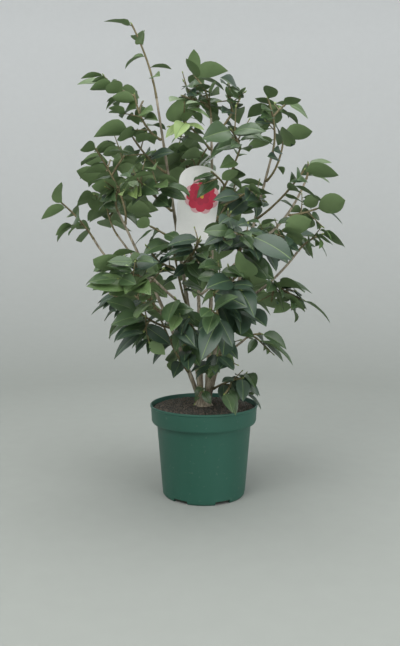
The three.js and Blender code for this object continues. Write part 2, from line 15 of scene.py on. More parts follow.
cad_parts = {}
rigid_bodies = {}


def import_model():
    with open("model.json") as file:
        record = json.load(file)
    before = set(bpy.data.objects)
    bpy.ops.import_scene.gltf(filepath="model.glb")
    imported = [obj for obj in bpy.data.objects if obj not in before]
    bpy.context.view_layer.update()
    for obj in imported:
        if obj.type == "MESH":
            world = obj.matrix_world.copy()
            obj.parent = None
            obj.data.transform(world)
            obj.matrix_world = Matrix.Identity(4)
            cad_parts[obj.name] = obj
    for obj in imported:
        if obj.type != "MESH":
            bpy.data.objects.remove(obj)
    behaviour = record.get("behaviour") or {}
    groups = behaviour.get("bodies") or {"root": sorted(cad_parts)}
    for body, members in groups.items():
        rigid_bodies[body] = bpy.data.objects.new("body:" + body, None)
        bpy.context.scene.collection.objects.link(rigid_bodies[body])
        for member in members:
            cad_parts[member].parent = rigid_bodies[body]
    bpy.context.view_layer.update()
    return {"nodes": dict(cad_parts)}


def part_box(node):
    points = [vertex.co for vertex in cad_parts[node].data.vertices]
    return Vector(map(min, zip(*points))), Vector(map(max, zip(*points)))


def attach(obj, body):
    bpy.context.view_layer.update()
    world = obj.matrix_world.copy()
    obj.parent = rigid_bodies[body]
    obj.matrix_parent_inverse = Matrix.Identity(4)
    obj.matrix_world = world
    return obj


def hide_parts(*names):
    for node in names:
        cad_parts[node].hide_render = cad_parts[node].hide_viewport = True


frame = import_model()

MM = 0.001
UP = np.array([0.0, 0.0, 1.0])

# ---- Pot, growing medium and root crown, as in the CAD source ----
POT_HEIGHT = 186
RIM_RADIUS = 110
BASE_RADIUS = 85
SHOULDER_RADIUS = 96.5
BAND_HEIGHT = 36
BAND_FOOT_RADIUS = 105.5
WALL = 2.4
FLOOR = 3
NOTCH_COUNT = 6
NOTCH_HEIGHT = 7
NOTCH_WIDTH = 32
NOTCH_DEPTH = 15
NOTCH_TURN = 56
GAP = 0.3
SOIL_LEVEL = 181
CROWN_HEIGHT = 13
CROWN_RADIUS = 14.5
FLARE_RADIUS = 20
STEM_RING = 10
BAND_FOOT = POT_HEIGHT - BAND_HEIGHT

# ---- Growth, as in the CAD source ----
TWIG_FOOT_RADIUS = 2.5
TWIG_TIP_RADIUS = 1.8
SIDE_TWIG_FOOT_RADIUS = 2.125
SIDE_TWIG_AT = 0.34
SIDE_TWIG_STEP = 0.3
SIDE_TWIG_JITTER = 0.1
SIDE_TWIG_REACH = 46
SIDE_TWIG_SPREAD = 30
SIDE_TWIG_OUT = 0.9  # shares of its reach that a side twig goes outward, on along its parent and up
SIDE_TWIG_ON = 0.4
SIDE_TWIG_RISE = 0.15
SIDE_START_OUT = 0.8
SIDE_START_ON = 0.6
GOLDEN = 137.508
DICE_START = 45345
DICE_STRIDE = 7919  # from one mass's dice to the next's
DICE_FACTOR = 16807
DICE_COUNT = 2147483647
LIFT = 8
LIFT_AT_TIP = 34
LIFT_SPREAD = 14
RISE_KEPT = 0.3
DROOP = 0.9
PLANT_TOP = 950
LEAF_CROWDING = 1.15  # above 1, leaves stand closer towards the tip
FIRST_LEAF_AT = 0.28
FIRST_SIDE_LEAF_AT = 0.42
LAST_LEAF_AT = 0.985
FACING_RADIUS = 140
FACING_SPREAD = 1.3
LEAF_SHORTEST = 0.76
LEAF_LENGTH_SPREAD = 0.4
LEAF_SLIMMEST = 0.46
LEAF_WIDTH_SPREAD = 0.12
ARCH_LEAST = 0.1
ARCH_SPREAD = 0.28
LEAF_TRIES = 14
TRY_TURN = 47
TRY_SHRINK = 0.035
SPACE_MARGIN = 1.6
LIMB_CLEAR = 4.5
TWIG_CLEAR = 3
LEAF_CLEAR = 7.5
RIM_REACH = 12  # growth counts as over the rim from this far inside it
RIM_CLEAR = 6
SOIL_CLEAR = 8
LIMB_REACH = 0.45
BRANCH_OUT = 0.78
BRANCH_ALONG = 0.62
LIMB_CHORDS = 8  # straight lengths that stand for a limb when room is measured
MAIN_TWIG_CHORDS = 6
SIDE_TWIG_CHORDS = 3
TWIG_PROBES = (0.4, 0.7, 1)  # where a side twig has to find room
BLADE_SKEW = 0.85  # the two powers that shape a blade's margin
BLADE_FULLNESS = 0.8

# ---- Finer growth, which the CAD source leaves out ----
SHOOT_FROM = 0.22  # the part of its parent that a shoot can leave
SHOOT_RANGE = 0.7
SHOOT_REACH = 24
SHOOT_SPREAD = 26
SHOOT_OUT = 0.85
SHOOT_ON = 0.5
SHOOT_RISE = 0.1
SHOOT_RADIUS = 1.3
SHOOT_TIP_RADIUS = 0.9
SHOOT_ROOM = 11  # along a shoot for each leaf
SHOOT_LEAF = 0.74  # a shoot's leaves against the mass's
FIRST_SHOOT_LEAF_AT = 0.3
FINE_TWIG_CLEAR = TWIG_CLEAR * 0.6
FINE_CLEAR = 4.6  # between the finer leaves
FINE_TRIES = 9
REACH_SPARE = 2.0  # how far finer growth may pass the box of the mass it belongs to
HOOK = 2.6  # the power by which a blade bends down along its length: most of it near the tip

# Stems: name, compass turn of the foot, head, foot and head radius, lean at the foot in degrees.
STEMS = [
    ("stem_right", 0, (136, 0, 690), 4.8, 2.2, 14),
    ("stem_centre", 60, (14, 6, 760), 4.8, 2.2, 4),
    ("stem_back", 120, (-18, 140, 640), 4.8, 2.2, 16),
    ("stem_left", 180, (-172, 0, 575), 4.8, 2.2, 20),
    ("stem_leader", 240, (-93, -12, 793), 5.0, 2.2, 8),
    ("stem_front", 300, (62, -118, 470), 4.6, 2.2, 16),
]

# Boughs: name, the limb that carries it, how far along that limb, head, foot and head radius.
BOUGHS = [
    ("bough_far_left", "stem_left", 0.62, (-222, 4, 520), 3.0, 2.2),
    ("bough_right_out", "stem_right", 0.66, (205, 6, 640), 3.0, 2.2),
    ("bough_right_arm", "stem_right", 0.42, (188, -10, 496), 3.0, 2.2),
    ("bough_right_low", "stem_right", 0.2, (84, -44, 326), 2.8, 2.2),
    ("bough_front_left", "stem_leader", 0.2, (-84, -130, 384), 3.0, 2.2),
    ("bough_back_left", "stem_back", 0.4, (-192, 150, 534), 3.0, 2.2),
    ("bough_back_right", "stem_back", 0.5, (98, 172, 500), 3.0, 2.2),
]

# Masses of foliage: name, the limb that carries it, how far along, tip of its main twig, leaf length, room
# along a twig for each leaf, number of side twigs, number of finer shoots, and its tone. The tone is shade,
# open or bright by how much light the mass gets, and deals out darker leaves as painted shade and lightened
# ones as painted light. A tone of tender is for new growth.
MASSES = [
    ("foliage_whip", "stem_leader", 1, (-140, -14, 932), 56, 27, 0, 0, "open"),
    ("foliage_upper_left", "stem_leader", 0.88, (-136, -14, 800), 68, 14, 3, 6, "open"),
    ("foliage_leader_side", "stem_leader", 0.78, (-144, -34, 724), 70, 14, 2, 5, "shade"),
    ("foliage_left_shoulder", "stem_leader", 0.66, (-140, -66, 644), 74, 14, 3, 6, "open"),
    ("foliage_left_outer", "stem_left", 0.94, (-220, 26, 704), 70, 15, 2, 3, "open"),
    ("foliage_left_inner", "stem_left", 1, (-162, -30, 626), 78, 14, 3, 6, "shade"),
    ("foliage_far_left", "bough_far_left", 1, (-284, -4, 592), 80, 19, 0, 1, "tender"),
    ("foliage_left_side", "stem_left", 0.5, (-206, 30, 484), 62, 15, 2, 4, "bright"),
    ("foliage_left_low", "stem_left", 0.34, (-176, -26, 408), 68, 14, 2, 6, "shade"),
    ("foliage_bottom_left", "stem_left", 0.16, (-92, -60, 384), 64, 15, 1, 5, "shade"),
    ("foliage_front_left", "bough_front_left", 1, (-104, -150, 444), 78, 14, 3, 12, "bright"),
    ("foliage_front_left_low", "bough_front_left", 0.55, (-120, -120, 382), 76, 14, 3, 9, "shade"),
    ("foliage_front_low", "stem_front", 0.4, (-52, -150, 408), 76, 14, 3, 14, "shade"),
    ("foliage_middle", "stem_leader", 0.34, (-60, -60, 512), 74, 14, 3, 12, "shade"),
    ("foliage_heart", "stem_leader", 0.46, (-30, -112, 472), 78, 13, 3, 12, "shade"),
    ("foliage_top", "stem_centre", 1, (2, 0, 812), 76, 13, 3, 7, "open"),
    ("foliage_upper_centre", "stem_centre", 0.9, (-36, -46, 740), 76, 14, 3, 8, "open"),
    ("foliage_upper_flank", "stem_centre", 0.94, (70, -16, 792), 84, 14, 2, 6, "open"),
    ("foliage_upper_right", "stem_centre", 0.72, (68, -62, 688), 78, 14, 3, 8, "open"),
    ("foliage_right_top", "stem_right", 1, (126, 0, 796), 70, 15, 2, 3, "open"),
    ("foliage_right_shoulder", "stem_right", 0.9, (156, -20, 716), 70, 15, 2, 3, "open"),
    ("foliage_right_inner", "stem_right", 0.78, (84, -96, 606), 76, 14, 3, 8, "shade"),
    ("foliage_right_middle", "stem_right", 0.58, (152, -64, 536), 76, 14, 3, 8, "shade"),
    ("foliage_right_outer", "bough_right_out", 1, (208, 4, 670), 64, 16, 2, 2, "open"),
    ("foliage_right_side", "bough_right_out", 0.6, (252, 40, 592), 70, 16, 1, 3, "shade"),
    ("foliage_right_arm", "bough_right_arm", 1, (236, -8, 530), 66, 16, 2, 2, "open"),
    ("foliage_right_low", "bough_right_arm", 0.5, (148, -30, 426), 74, 14, 2, 5, "shade"),
    ("foliage_front_right", "stem_front", 1, (60, -144, 520), 78, 13, 3, 12, "shade"),
    ("foliage_front_centre", "stem_front", 0.66, (16, -176, 420), 78, 14, 3, 12, "shade"),
    ("foliage_bottom_right", "bough_right_low", 1, (112, -50, 334), 72, 15, 1, 2, "open"),
    ("foliage_bottom_centre", "stem_front", 0.24, (38, -88, 334), 62, 15, 2, 6, "shade"),
    ("foliage_rim", "stem_right", 0.05, (74, -70, 250), 66, 14, 2, 4, "open"),
    ("foliage_foot", "stem_leader", 0.05, (-2, -40, 220), 36, 14, 0, 1, "tender"),
    ("foliage_back_top", "stem_back", 1, (-52, 146, 702), 84, 15, 3, 4, "open"),
    ("foliage_back_upper", "stem_back", 0.78, (72, 160, 640), 84, 15, 2, 4, "open"),
    ("foliage_back_left", "bough_back_left", 1, (-220, 160, 664), 84, 15, 3, 4, "open"),
    ("foliage_back_right", "bough_back_right", 1, (150, 168, 544), 84, 15, 3, 4, "open"),
    ("foliage_back_centre", "stem_back", 0.56, (-12, 214, 502), 84, 15, 2, 6, "shade"),
    ("foliage_back_left_low", "bough_back_left", 0.5, (-128, 160, 384), 80, 15, 2, 5, "shade"),
    ("foliage_back_right_low", "bough_back_right", 0.4, (112, 180, 392), 80, 15, 2, 5, "shade"),
    ("foliage_back_low", "stem_back", 0.2, (-18, 150, 322), 78, 15, 1, 5, "shade"),
    ("foliage_right_flank", "stem_right", 0.76, (190, -60, 648), 70, 14, 2, 2, "open"),
]

# ---- Plant label, as in the CAD source ----
LABEL_CENTRE = (-12, -30, 590)
LABEL_WIDTH = 82
LABEL_HEIGHT = 142
LABEL_THICKNESS = 1.2
LABEL_TURN = 6
LABEL_CLEAR = 15
LABEL_SIDE_CLEAR = 10
LABEL_END_CLEAR = 8
LABEL_FOOT_SHARE = 0.9
LABEL_ARCH_SHARE = 0.8
LABEL_ARCH_PULL = 26
LABEL_ARCH_FLAT = 14
STRAP_RISE = 24


# ---- Small tools ----
def linear(code):
    """An sRGB hex colour as linear RGBA."""
    channels = [int(code[i : i + 2], 16) / 255 for i in (1, 3, 5)]
    return (*[c / 12.92 if c <= 0.04045 else ((c + 0.055) / 1.055) ** 2.4 for c in channels], 1)


def per_metre(size_mm):
    """The scale of a pattern whose features are this many millimetres across."""
    return 1000 / size_mm


def noise_inputs(size_mm, detail=2.0, roughness=0.5):
    """What a noise is given for features of this size."""
    return {"Scale": per_metre(size_mm), "Detail": detail, "Roughness": roughness}


def feed(node, inputs):
    """Gives a node's inputs, by name or number, a value or another node's socket."""
    for key, value in inputs.items():
        if isinstance(value, bpy.types.NodeSocket):
            node.id_data.links.new(value, node.inputs[key])
        else:
            node.inputs[key].default_value = value
    return node


def add_node(tree, kind, inputs=None, **settings):
    """Adds a node with its settings and what feeds it."""
    made = tree.nodes.new(kind)
    for name, value in settings.items():
        setattr(made, name, value)
    return feed(made, inputs or {})


def material(name, build):
    """A material with a Principled shader, which build(tree, shader, place) sets up in Object coordinates."""
    made = bpy.data.materials.new(name)
    made.use_nodes = True
    tree = made.node_tree
    place = add_node(tree, "ShaderNodeTexCoord").outputs["Object"]
    build(tree, tree.nodes["Principled BSDF"], place)
    return made


# ---- Materials ----
def two_toned(name, tones, roughness, relief, pattern, grain=None, contrast=None, drawn_out=None, ior=None):
    """A material in two tones that a pattern deals out, with a relief that breaks up its shine.

    Pattern and grain are a noise's inputs. The relief is a height in millimetres and a strength, and follows
    the grain, or the pattern where there is no grain. Contrast is the part of the pattern's range that runs
    from one tone to the other, and drawn_out is the pattern's scale along Z.
    """

    def build(tree, shader, place):
        if drawn_out:
            stretch = {"Vector": place, "Scale": (1, 1, drawn_out)}
            place = add_node(tree, "ShaderNodeMapping", stretch).outputs[0]
        factor = add_node(tree, "ShaderNodeTexNoise", {"Vector": place, **pattern}).outputs["Fac"]
        if contrast:
            limits = {"From Min": contrast[0], "From Max": contrast[1]}
            factor = add_node(tree, "ShaderNodeMapRange", {"Value": factor, **limits}).outputs["Result"]
        mix = {"Factor": factor, 6: linear(tones[0]), 7: linear(tones[1])}
        tint = add_node(tree, "ShaderNodeMix", mix, data_type="RGBA").outputs[2]
        raised = factor
        if grain:
            raised = add_node(tree, "ShaderNodeTexNoise", {"Vector": place, **grain}).outputs["Fac"]
        bump = {"Height": raised, "Distance": relief[0] * MM, "Strength": relief[1]}
        normal = add_node(tree, "ShaderNodeBump", bump).outputs["Normal"]
        feed(shader, {"Base Color": tint, "Normal": normal, "Roughness": roughness})
        if ior:
            feed(shader, {"IOR": ior})

    return material(name, build)


# A camellia's leaf has a waxed upper face that throws back a pale sheen, and a paler matt lower face. Its
# green is a little mottled. The pores of its skin are 0.05 mm apart. They are drawn at 1.2 mm, where they
# break up the shine. Four leaf colours. Last year's is darker and is dealt mostly to masses in shade, so it
# is partly the old leaf's own colour and partly painted shade. This year's is full-grown. The full-grown
# colour lightened for leaves in full light is painted light. Tender new ones are the fourth.
LEAF_SKIN = {"pattern": noise_inputs(16, 3.0), "grain": noise_inputs(1.2), "ior": 1.48}
LEAF_COLOURS = {
    "old": (("#324539", "#3b4f3d"), 0.38),
    "grown": (("#3c5238", "#495f3b"), 0.36),
    "sunlit": (("#51693f", "#5e7548"), 0.38),
    "tender": (("#7c9456", "#8ea468"), 0.42),
}
WAXED = {
    age: two_toned(f"waxed_leaf_{age}", *skin, (0.12, 0.5), **LEAF_SKIN) for age, skin in LEAF_COLOURS.items()
}
MATT_UNDERSIDE = two_toned("matt_leaf_underside", ("#6d8458", "#7c9365"), 0.62, (0.15, 0.5), **LEAF_SKIN)
LEAF_RIB = two_toned("leaf_rib_and_stalk", ("#5d7348", "#6d8254"), 0.5, (0.08, 0.5), **LEAF_SKIN)


def woody(name, tones, grain_mm, roughness):
    """Bark with lengthwise fissures: a pattern drawn out along the stem's rise, darker in its hollows."""
    pattern = noise_inputs(grain_mm, 4.0, 0.62)
    return two_toned(name, tones, roughness, (0.5, 0.8), pattern, contrast=(0.34, 0.66), drawn_out=0.16)


# Camellia bark is smooth and grey-brown with shallow fissures, which read as pale streaks. The shoots of the
# year have a green-brown skin with a slight shine, and their buds are wrapped in smooth scales.
GREY_BARK = woody("grey_brown_bark", ("#6d6352", "#b0a693"), 3.2, 0.82)
SHOOT_SKIN = woody("green_brown_shoot_skin", ("#574d36", "#867d58"), 2.4, 0.6)
BUD_SCALES = woody("bud_scales", ("#64783f", "#8d9a58"), 1.6, 0.45)


def peaty(name, tones, size_mm, roughness):
    """Peat, composted bark or grit: rough, almost without shine, in crumbs of several browns."""
    crumbs = noise_inputs(size_mm, 5.0, 0.7)
    return two_toned(name, tones, roughness, (1.2, 1.0), crumbs, crumbs, contrast=(0.35, 0.68))


PEAT = peaty("damp_peat", ("#31302b", "#56544d"), 3.0, 0.95)
BARK_CHIP = peaty("composted_bark_chips", ("#47413a", "#746b61"), 2.0, 0.88)
PALE_GRIT = peaty("pale_grit", ("#8d867a", "#b8b2a6"), 1.5, 0.9)


def printed(name, tones, roughness=0.4):
    """Printed polypropylene card: flat ink under a satin film, with the slight unevenness of the ink."""
    return two_toned(name, tones, roughness, (0.05, 0.4), noise_inputs(9), noise_inputs(2.5))


CARD_WHITE = printed("printed_card_white", ("#f4f4f1", "#eaebe8"), 0.42)
INK_RED = printed("printed_ink_red", ("#cc3450", "#bf2c48"))
INK_PINK = printed("printed_ink_pink", ("#e9b9bd", "#e0aab0"))
INK_CRIMSON = printed("printed_ink_crimson", ("#a82840", "#b42e49"))
INK_GREEN = printed("printed_ink_green", ("#3f5c3a", "#35502f"))
INK_YELLOW = printed("printed_ink_yellow", ("#cfae4a", "#c09c38"))
STRAP_WHITE = printed("moulded_tie_white", ("#dfe2dd", "#cfd4cf"), 0.38)


def moulded_polypropylene(tree, shader, place):
    """Injection-moulded, through-coloured plastic: an even green, faint flow streaks and an orange peel."""
    streaks = add_node(tree, "ShaderNodeMapping", {"Vector": place, "Scale": (1, 1, 0.12)}).outputs["Vector"]
    flow = add_node(tree, "ShaderNodeTexNoise", {"Vector": streaks, **noise_inputs(34, 3.0)}).outputs["Fac"]
    mix = {"Factor": flow, 6: linear("#204f41"), 7: linear("#295a4c")}
    green = add_node(tree, "ShaderNodeMix", mix, data_type="RGBA").outputs[2]
    # Dried splashes of soil and lime, a few millimetres across, leave pale specks.
    splash = add_node(tree, "ShaderNodeTexNoise", {"Vector": place, **noise_inputs(7, 6.0)}).outputs["Fac"]
    limits = {"Value": splash, "From Min": 0.64, "From Max": 0.74, "To Max": 0.2}
    specks = add_node(tree, "ShaderNodeMapRange", limits).outputs["Result"]
    mix = {"Factor": specks, 6: green, 7: linear("#7d8a7c")}
    dusted = add_node(tree, "ShaderNodeMix", mix, data_type="RGBA").outputs[2]
    limits = {"Value": flow, "To Min": 0.38, "To Max": 0.56}
    wear = add_node(tree, "ShaderNodeMapRange", limits).outputs["Result"]
    peel = add_node(tree, "ShaderNodeTexNoise", {"Vector": place, **noise_inputs(1.5)}).outputs["Fac"]
    bump = {"Height": peel, "Distance": 0.1 * MM, "Strength": 0.4}
    normal = add_node(tree, "ShaderNodeBump", bump).outputs["Normal"]
    feed(shader, {"Base Color": dusted, "Roughness": wear, "Normal": normal, "IOR": 1.49})


POT_PLASTIC = material("moulded_polypropylene_green", moulded_polypropylene)


# ---- Growth: the limbs ----
def unit(v):
    return v / np.linalg.norm(v)


class Limb:
    """A quadratic curve that leaves its foot along `start` and ends at its head."""

    def __init__(self, foot, start, head, foot_radius, head_radius, socket=None):
        self.foot, self.head = foot, head
        self.length = np.linalg.norm(head - foot)
        self.control = foot + start * self.length * LIMB_REACH
        self.foot_radius, self.head_radius = foot_radius, head_radius
        self.socket = socket  # the point of the parent's axis that it grows out of

    def point(self, t):
        return (1 - t) ** 2 * self.foot + 2 * (1 - t) * t * self.control + t**2 * self.head

    def direction(self, t):
        return unit((self.control - self.foot) * (1 - t) + (self.head - self.control) * t)

    def radius(self, t):
        return self.foot_radius + (self.head_radius - self.foot_radius) * t

    def segments(self, count):
        """Rows of start, end and radius for the limb cut into this many chords."""
        cuts = [self.point(i / count) for i in range(count + 1)]
        return [(cuts[i], cuts[i + 1], self.radius(i / count)) for i in range(count)]


def grow_stem(turn, head, foot_radius, head_radius, lean):
    angle, tilt = math.radians(turn), math.radians(lean)
    level = SOIL_LEVEL + CROWN_HEIGHT + 2 * GAP + foot_radius * math.sin(tilt)
    foot = np.array([STEM_RING * math.cos(angle), STEM_RING * math.sin(angle), level])
    tip = np.array(head, float)
    outward = unit(np.array([tip[0] - foot[0], tip[1] - foot[1], 0]))
    start = outward * math.sin(tilt) + UP * math.cos(tilt)
    return Limb(foot, start, tip, foot_radius, head_radius)


def grow_branch(parent, at, head, foot_radius, head_radius):
    """A limb grown on from its parent's tip, or out of its side at about 50 degrees."""
    tip, origin, along = np.array(head, float), parent.point(at), parent.direction(at)
    if at == 1:
        return Limb(origin + along * GAP, along, tip, foot_radius, head_radius, origin)
    side = tip - origin
    side = unit(side - along * side.dot(along))
    foot = origin + side * (parent.radius(at) + foot_radius + GAP)
    return Limb(foot, unit(side * BRANCH_OUT + along * BRANCH_ALONG), tip, foot_radius, head_radius, origin)


# ---- Growth: the masses of foliage ----
def make_dice(seed):
    """Repeatable dice, from 0 to 1, the same as the CAD source's."""
    state = (seed * DICE_STRIDE + DICE_START) % DICE_COUNT

    def throw():
        nonlocal state
        state = (state * DICE_FACTOR) % DICE_COUNT
        return state / DICE_COUNT

    return throw


def gaps(points, starts, ends):
    """How far each point lies from each segment."""
    along = ends - starts
    offset = points[:, None] - starts
    t = ((offset * along).sum(2) / (along**2).sum(1)).clip(0, 1)
    return np.linalg.norm(offset - along * t[..., None], axis=2)


def radial_of(along, turn):
    """The unit vector that leaves a twig's axis at `turn` degrees round it."""
    u = unit(np.cross(along, (1.0, 0, 0) if abs(along[2]) > 0.9 else UP))
    angle = math.radians(turn)
    return u * math.cos(angle) + np.cross(along, u) * math.sin(angle)


# Where a blade is tested for room: share of its length and of its half width, and that half width.
SAMPLES = np.array([(s, a) for s in (0.3, 0.5, 0.7, 0.88) for a in (-1, -0.5, 0, 0.5, 1)] + [(1, 0)])
SAMPLE_SHARE, SAMPLE_ACROSS = SAMPLES[:, :1], SAMPLES[:, 1:]
SAMPLE_HALF = 0.5 * np.sin(np.pi * SAMPLE_SHARE**BLADE_SKEW).clip(0, 1) ** BLADE_FULLNESS


class Leaf:
    """A blade's place: its root, the way it points, the way it faces, its size and how much it arches."""

    def __init__(self, twig, t, turn, lift, size, dice):
        along = twig.direction(t)
        angle = math.radians(lift)
        pointing = radial_of(along, turn) * math.cos(angle) + along * math.sin(angle)
        self.root = twig.point(t)
        pointing[2] = RISE_KEPT * pointing[2] - DROOP * dice() * (1 - self.root[2] / PLANT_TOP)
        self.along = unit(pointing)
        normal = np.array([self.root[0], self.root[1], 0]) / FACING_RADIUS
        normal = normal + np.array([FACING_SPREAD * (dice() - 0.5), FACING_SPREAD * (dice() - 0.5), 1])
        self.facing = unit(normal - self.along * normal.dot(self.along))
        self.length = size * (LEAF_SHORTEST + LEAF_LENGTH_SPREAD * dice())
        self.width = self.length * (LEAF_SLIMMEST + LEAF_WIDTH_SPREAD * dice())
        self.arch = ARCH_LEAST + ARCH_SPREAD * dice()

    def samples(self):
        side = np.cross(self.along, self.facing)
        return (
            self.root
            + self.along * self.length * SAMPLE_SHARE
            - self.facing * self.length * self.arch * SAMPLE_SHARE**2
            + side * SAMPLE_ACROSS * self.width * SAMPLE_HALF
        )


class Mass:
    """A mass of foliage: its twigs with the leaves of each, in its own space."""

    def __init__(self, index, row, twig):
        self.name, self.leaf_length, self.leaf_room = row[0], row[4], row[5]
        self.side_twigs, self.shoots, self.tone = row[6:]
        self.index, self.twig = index, twig
        self.dice = make_dice(index + 1)
        self.sprays = []  # pairs of a twig and its leaves
        self.taken = np.empty((0, 3))
        self.twig_segments = twig.segments(MAIN_TWIG_CHORDS)
        low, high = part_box(self.name)
        self.low, self.high = np.array(low) / MM - REACH_SPARE, np.array(high) / MM + REACH_SPARE


def clear_of_pot(points):
    out = np.hypot(points[:, 0], points[:, 1])
    floor = np.where(out > RIM_RADIUS - RIM_REACH, POT_HEIGHT + RIM_CLEAR, SOIL_LEVEL + SOIL_CLEAR)
    return ((out > RIM_RADIUS + RIM_CLEAR) | (points[:, 2] > floor)).all()


# Boxes round the label and round its strap: half width, half depth, lower and upper height.
LABEL_TOP = LABEL_CENTRE[2] + LABEL_HEIGHT / 2
LABEL_FREE_FROM = LABEL_CENTRE[2] - LABEL_HEIGHT / 2 - LABEL_END_CLEAR
KEEP_OUT = [
    (LABEL_WIDTH / 2 + LABEL_SIDE_CLEAR, LABEL_CLEAR, LABEL_FREE_FROM, LABEL_TOP + LABEL_END_CLEAR),
    (LABEL_WIDTH / 2, -2 * LABEL_CENTRE[1], LABEL_TOP, LABEL_TOP + STRAP_RISE + LABEL_END_CLEAR),
]


def clear_of_label(points):
    for half_width, half_depth, low, high in KEEP_OUT:
        beside = abs(points[:, 0] - LABEL_CENTRE[0]) > half_width
        behind = abs(points[:, 1] - LABEL_CENTRE[1]) > half_depth
        if not (beside | behind | (points[:, 2] < low) | (points[:, 2] > high)).all():
            return False
    return True


def columns(rows):
    """Segment rows as arrays of starts, ends and radii."""
    return [np.array(column) for column in zip(*rows)]


def grow_side(dice, parent, t, number, reach, shares, radii):
    """A side twig or shoot out of its parent. Its head goes outward, on and up by shares of its length."""
    along, origin = parent.direction(t), parent.point(t)
    length = reach[0] + reach[1] * dice()
    out = radial_of(along, 360 * dice() + GOLDEN * number)
    start = unit(out * SIDE_START_OUT + along * SIDE_START_ON)
    head = origin + out * length * shares[0] + along * length * shares[1] + UP * length * shares[2]
    return Limb(origin, start, head, *radii, origin)


class Shrub:
    """Grows the masses one after another, each in the space nearer to its own line than to any other's."""

    def __init__(self):
        self.limbs = {name: grow_stem(*row) for name, *row in STEMS}
        for name, parent, at, head, foot_radius, head_radius in BOUGHS:
            self.limbs[name] = grow_branch(self.limbs[parent], at, head, foot_radius, head_radius)
        self.limb_segments = columns([s for limb in self.limbs.values() for s in limb.segments(LIMB_CHORDS)])
        self.masses = []
        for index, row in enumerate(MASSES):
            parent, at, head = self.limbs[row[1]], row[2], row[3]
            foot_radius = parent.head_radius if at == 1 else TWIG_FOOT_RADIUS
            self.masses.append(Mass(index, row, grow_branch(parent, at, head, foot_radius, TWIG_TIP_RADIUS)))
        self.feet = np.array([mass.twig.foot for mass in self.masses])
        self.heads = np.array([mass.twig.head for mass in self.masses])
        for mass in self.masses:
            self.grow_mass(mass)
            self.grow_finer(mass)

    def place_free(self, points, mass):
        spans = gaps(points, self.feet, self.heads)
        own = spans[:, mass.index : mass.index + 1] + SPACE_MARGIN
        starts, ends, radii = self.limb_segments
        return (
            (np.delete(spans, mass.index, axis=1) > own).all()
            and clear_of_pot(points)
            and clear_of_label(points)
            and (gaps(points, starts, ends) > radii + LIMB_CLEAR).all()
        )

    def twig_free(self, twig, mass):
        return self.place_free(np.array([twig.point(share) for share in TWIG_PROBES]), mass)

    def leaf_fits(self, points, mass, twig_clear, leaf_clear):
        if not self.place_free(points, mass):
            return False
        starts, ends, radii = columns(mass.twig_segments)
        if not (gaps(points, starts, ends) > radii + twig_clear).all():
            return False
        apart = np.linalg.norm(points[:, None] - mass.taken, axis=2)
        return (apart > leaf_clear).all()

    def grow_leaves(self, mass, twig, start, room, length, tries, clear, boxed=False):
        """Alternate leaves along a twig, closer and more upright towards its tip. The tip's grow first."""
        dice, grown = mass.dice, []
        phase = 360 * dice()
        along = max(1, math.floor(twig.length * (1 - start) / room + 0.5))
        twig_clear, leaf_clear = clear
        for i in range(along + 1, -1, -1):
            share = 1 - (1 - i / (along + 1)) ** LEAF_CROWDING
            t = start + (LAST_LEAF_AT - start) * share
            lift = LIFT + LIFT_AT_TIP * share * share + LIFT_SPREAD * dice()
            for attempt in range(tries):
                size = length * (1 - TRY_SHRINK * attempt)
                leaf = Leaf(twig, t, phase + GOLDEN * i + TRY_TURN * attempt, lift, size, dice)
                points = leaf.samples()
                if boxed and not ((points > mass.low) & (points < mass.high)).all():
                    continue
                if self.leaf_fits(points, mass, twig_clear, leaf_clear):
                    grown.append(leaf)
                    mass.taken = np.vstack([mass.taken, points])
                    break
        return grown

    def grow_mass(self, mass):
        """The growth that the CAD source has too."""
        twigs, reach = [mass.twig], (SIDE_TWIG_REACH, SIDE_TWIG_SPREAD)
        head, radii = (SIDE_TWIG_OUT, SIDE_TWIG_ON, SIDE_TWIG_RISE), (SIDE_TWIG_FOOT_RADIUS, TWIG_TIP_RADIUS)
        for i in range(mass.side_twigs):
            t = SIDE_TWIG_AT + SIDE_TWIG_STEP * i + SIDE_TWIG_JITTER * mass.dice()
            twig = grow_side(mass.dice, mass.twig, t, i, reach, head, radii)
            if self.twig_free(twig, mass):
                twigs.append(twig)
                mass.twig_segments += twig.segments(SIDE_TWIG_CHORDS)
        for twig in twigs:
            start = FIRST_LEAF_AT if twig is mass.twig else FIRST_SIDE_LEAF_AT
            clear = (TWIG_CLEAR, LEAF_CLEAR)
            leaves = self.grow_leaves(mass, twig, start, mass.leaf_room, mass.leaf_length, LEAF_TRIES, clear)
            if leaves or twig is mass.twig:
                mass.sprays.append((twig, leaves))

    def grow_finer(self, mass):
        """Finer shoots from the twigs, with smaller leaves, inside the mass's own reach."""
        twigs, reach = [twig for twig, _ in mass.sprays], (SHOOT_REACH, SHOOT_SPREAD)
        head, radii = (SHOOT_OUT, SHOOT_ON, SHOOT_RISE), (SHOOT_RADIUS, SHOOT_TIP_RADIUS)
        length, clear = mass.leaf_length * SHOOT_LEAF, (FINE_TWIG_CLEAR, FINE_CLEAR)
        for i in range(mass.shoots):
            parent = twigs[int(mass.dice() * len(twigs))]
            t = SHOOT_FROM + SHOOT_RANGE * mass.dice()
            shoot = grow_side(mass.dice, parent, t, i, reach, head, radii)
            if not self.twig_free(shoot, mass):
                continue
            mass.twig_segments += shoot.segments(SIDE_TWIG_CHORDS)
            place = (FIRST_SHOOT_LEAF_AT, SHOOT_ROOM, length, FINE_TRIES, clear)
            leaves = self.grow_leaves(mass, shoot, *place, boxed=True)
            if leaves:
                mass.sprays.append((shoot, leaves))


shrub = Shrub()


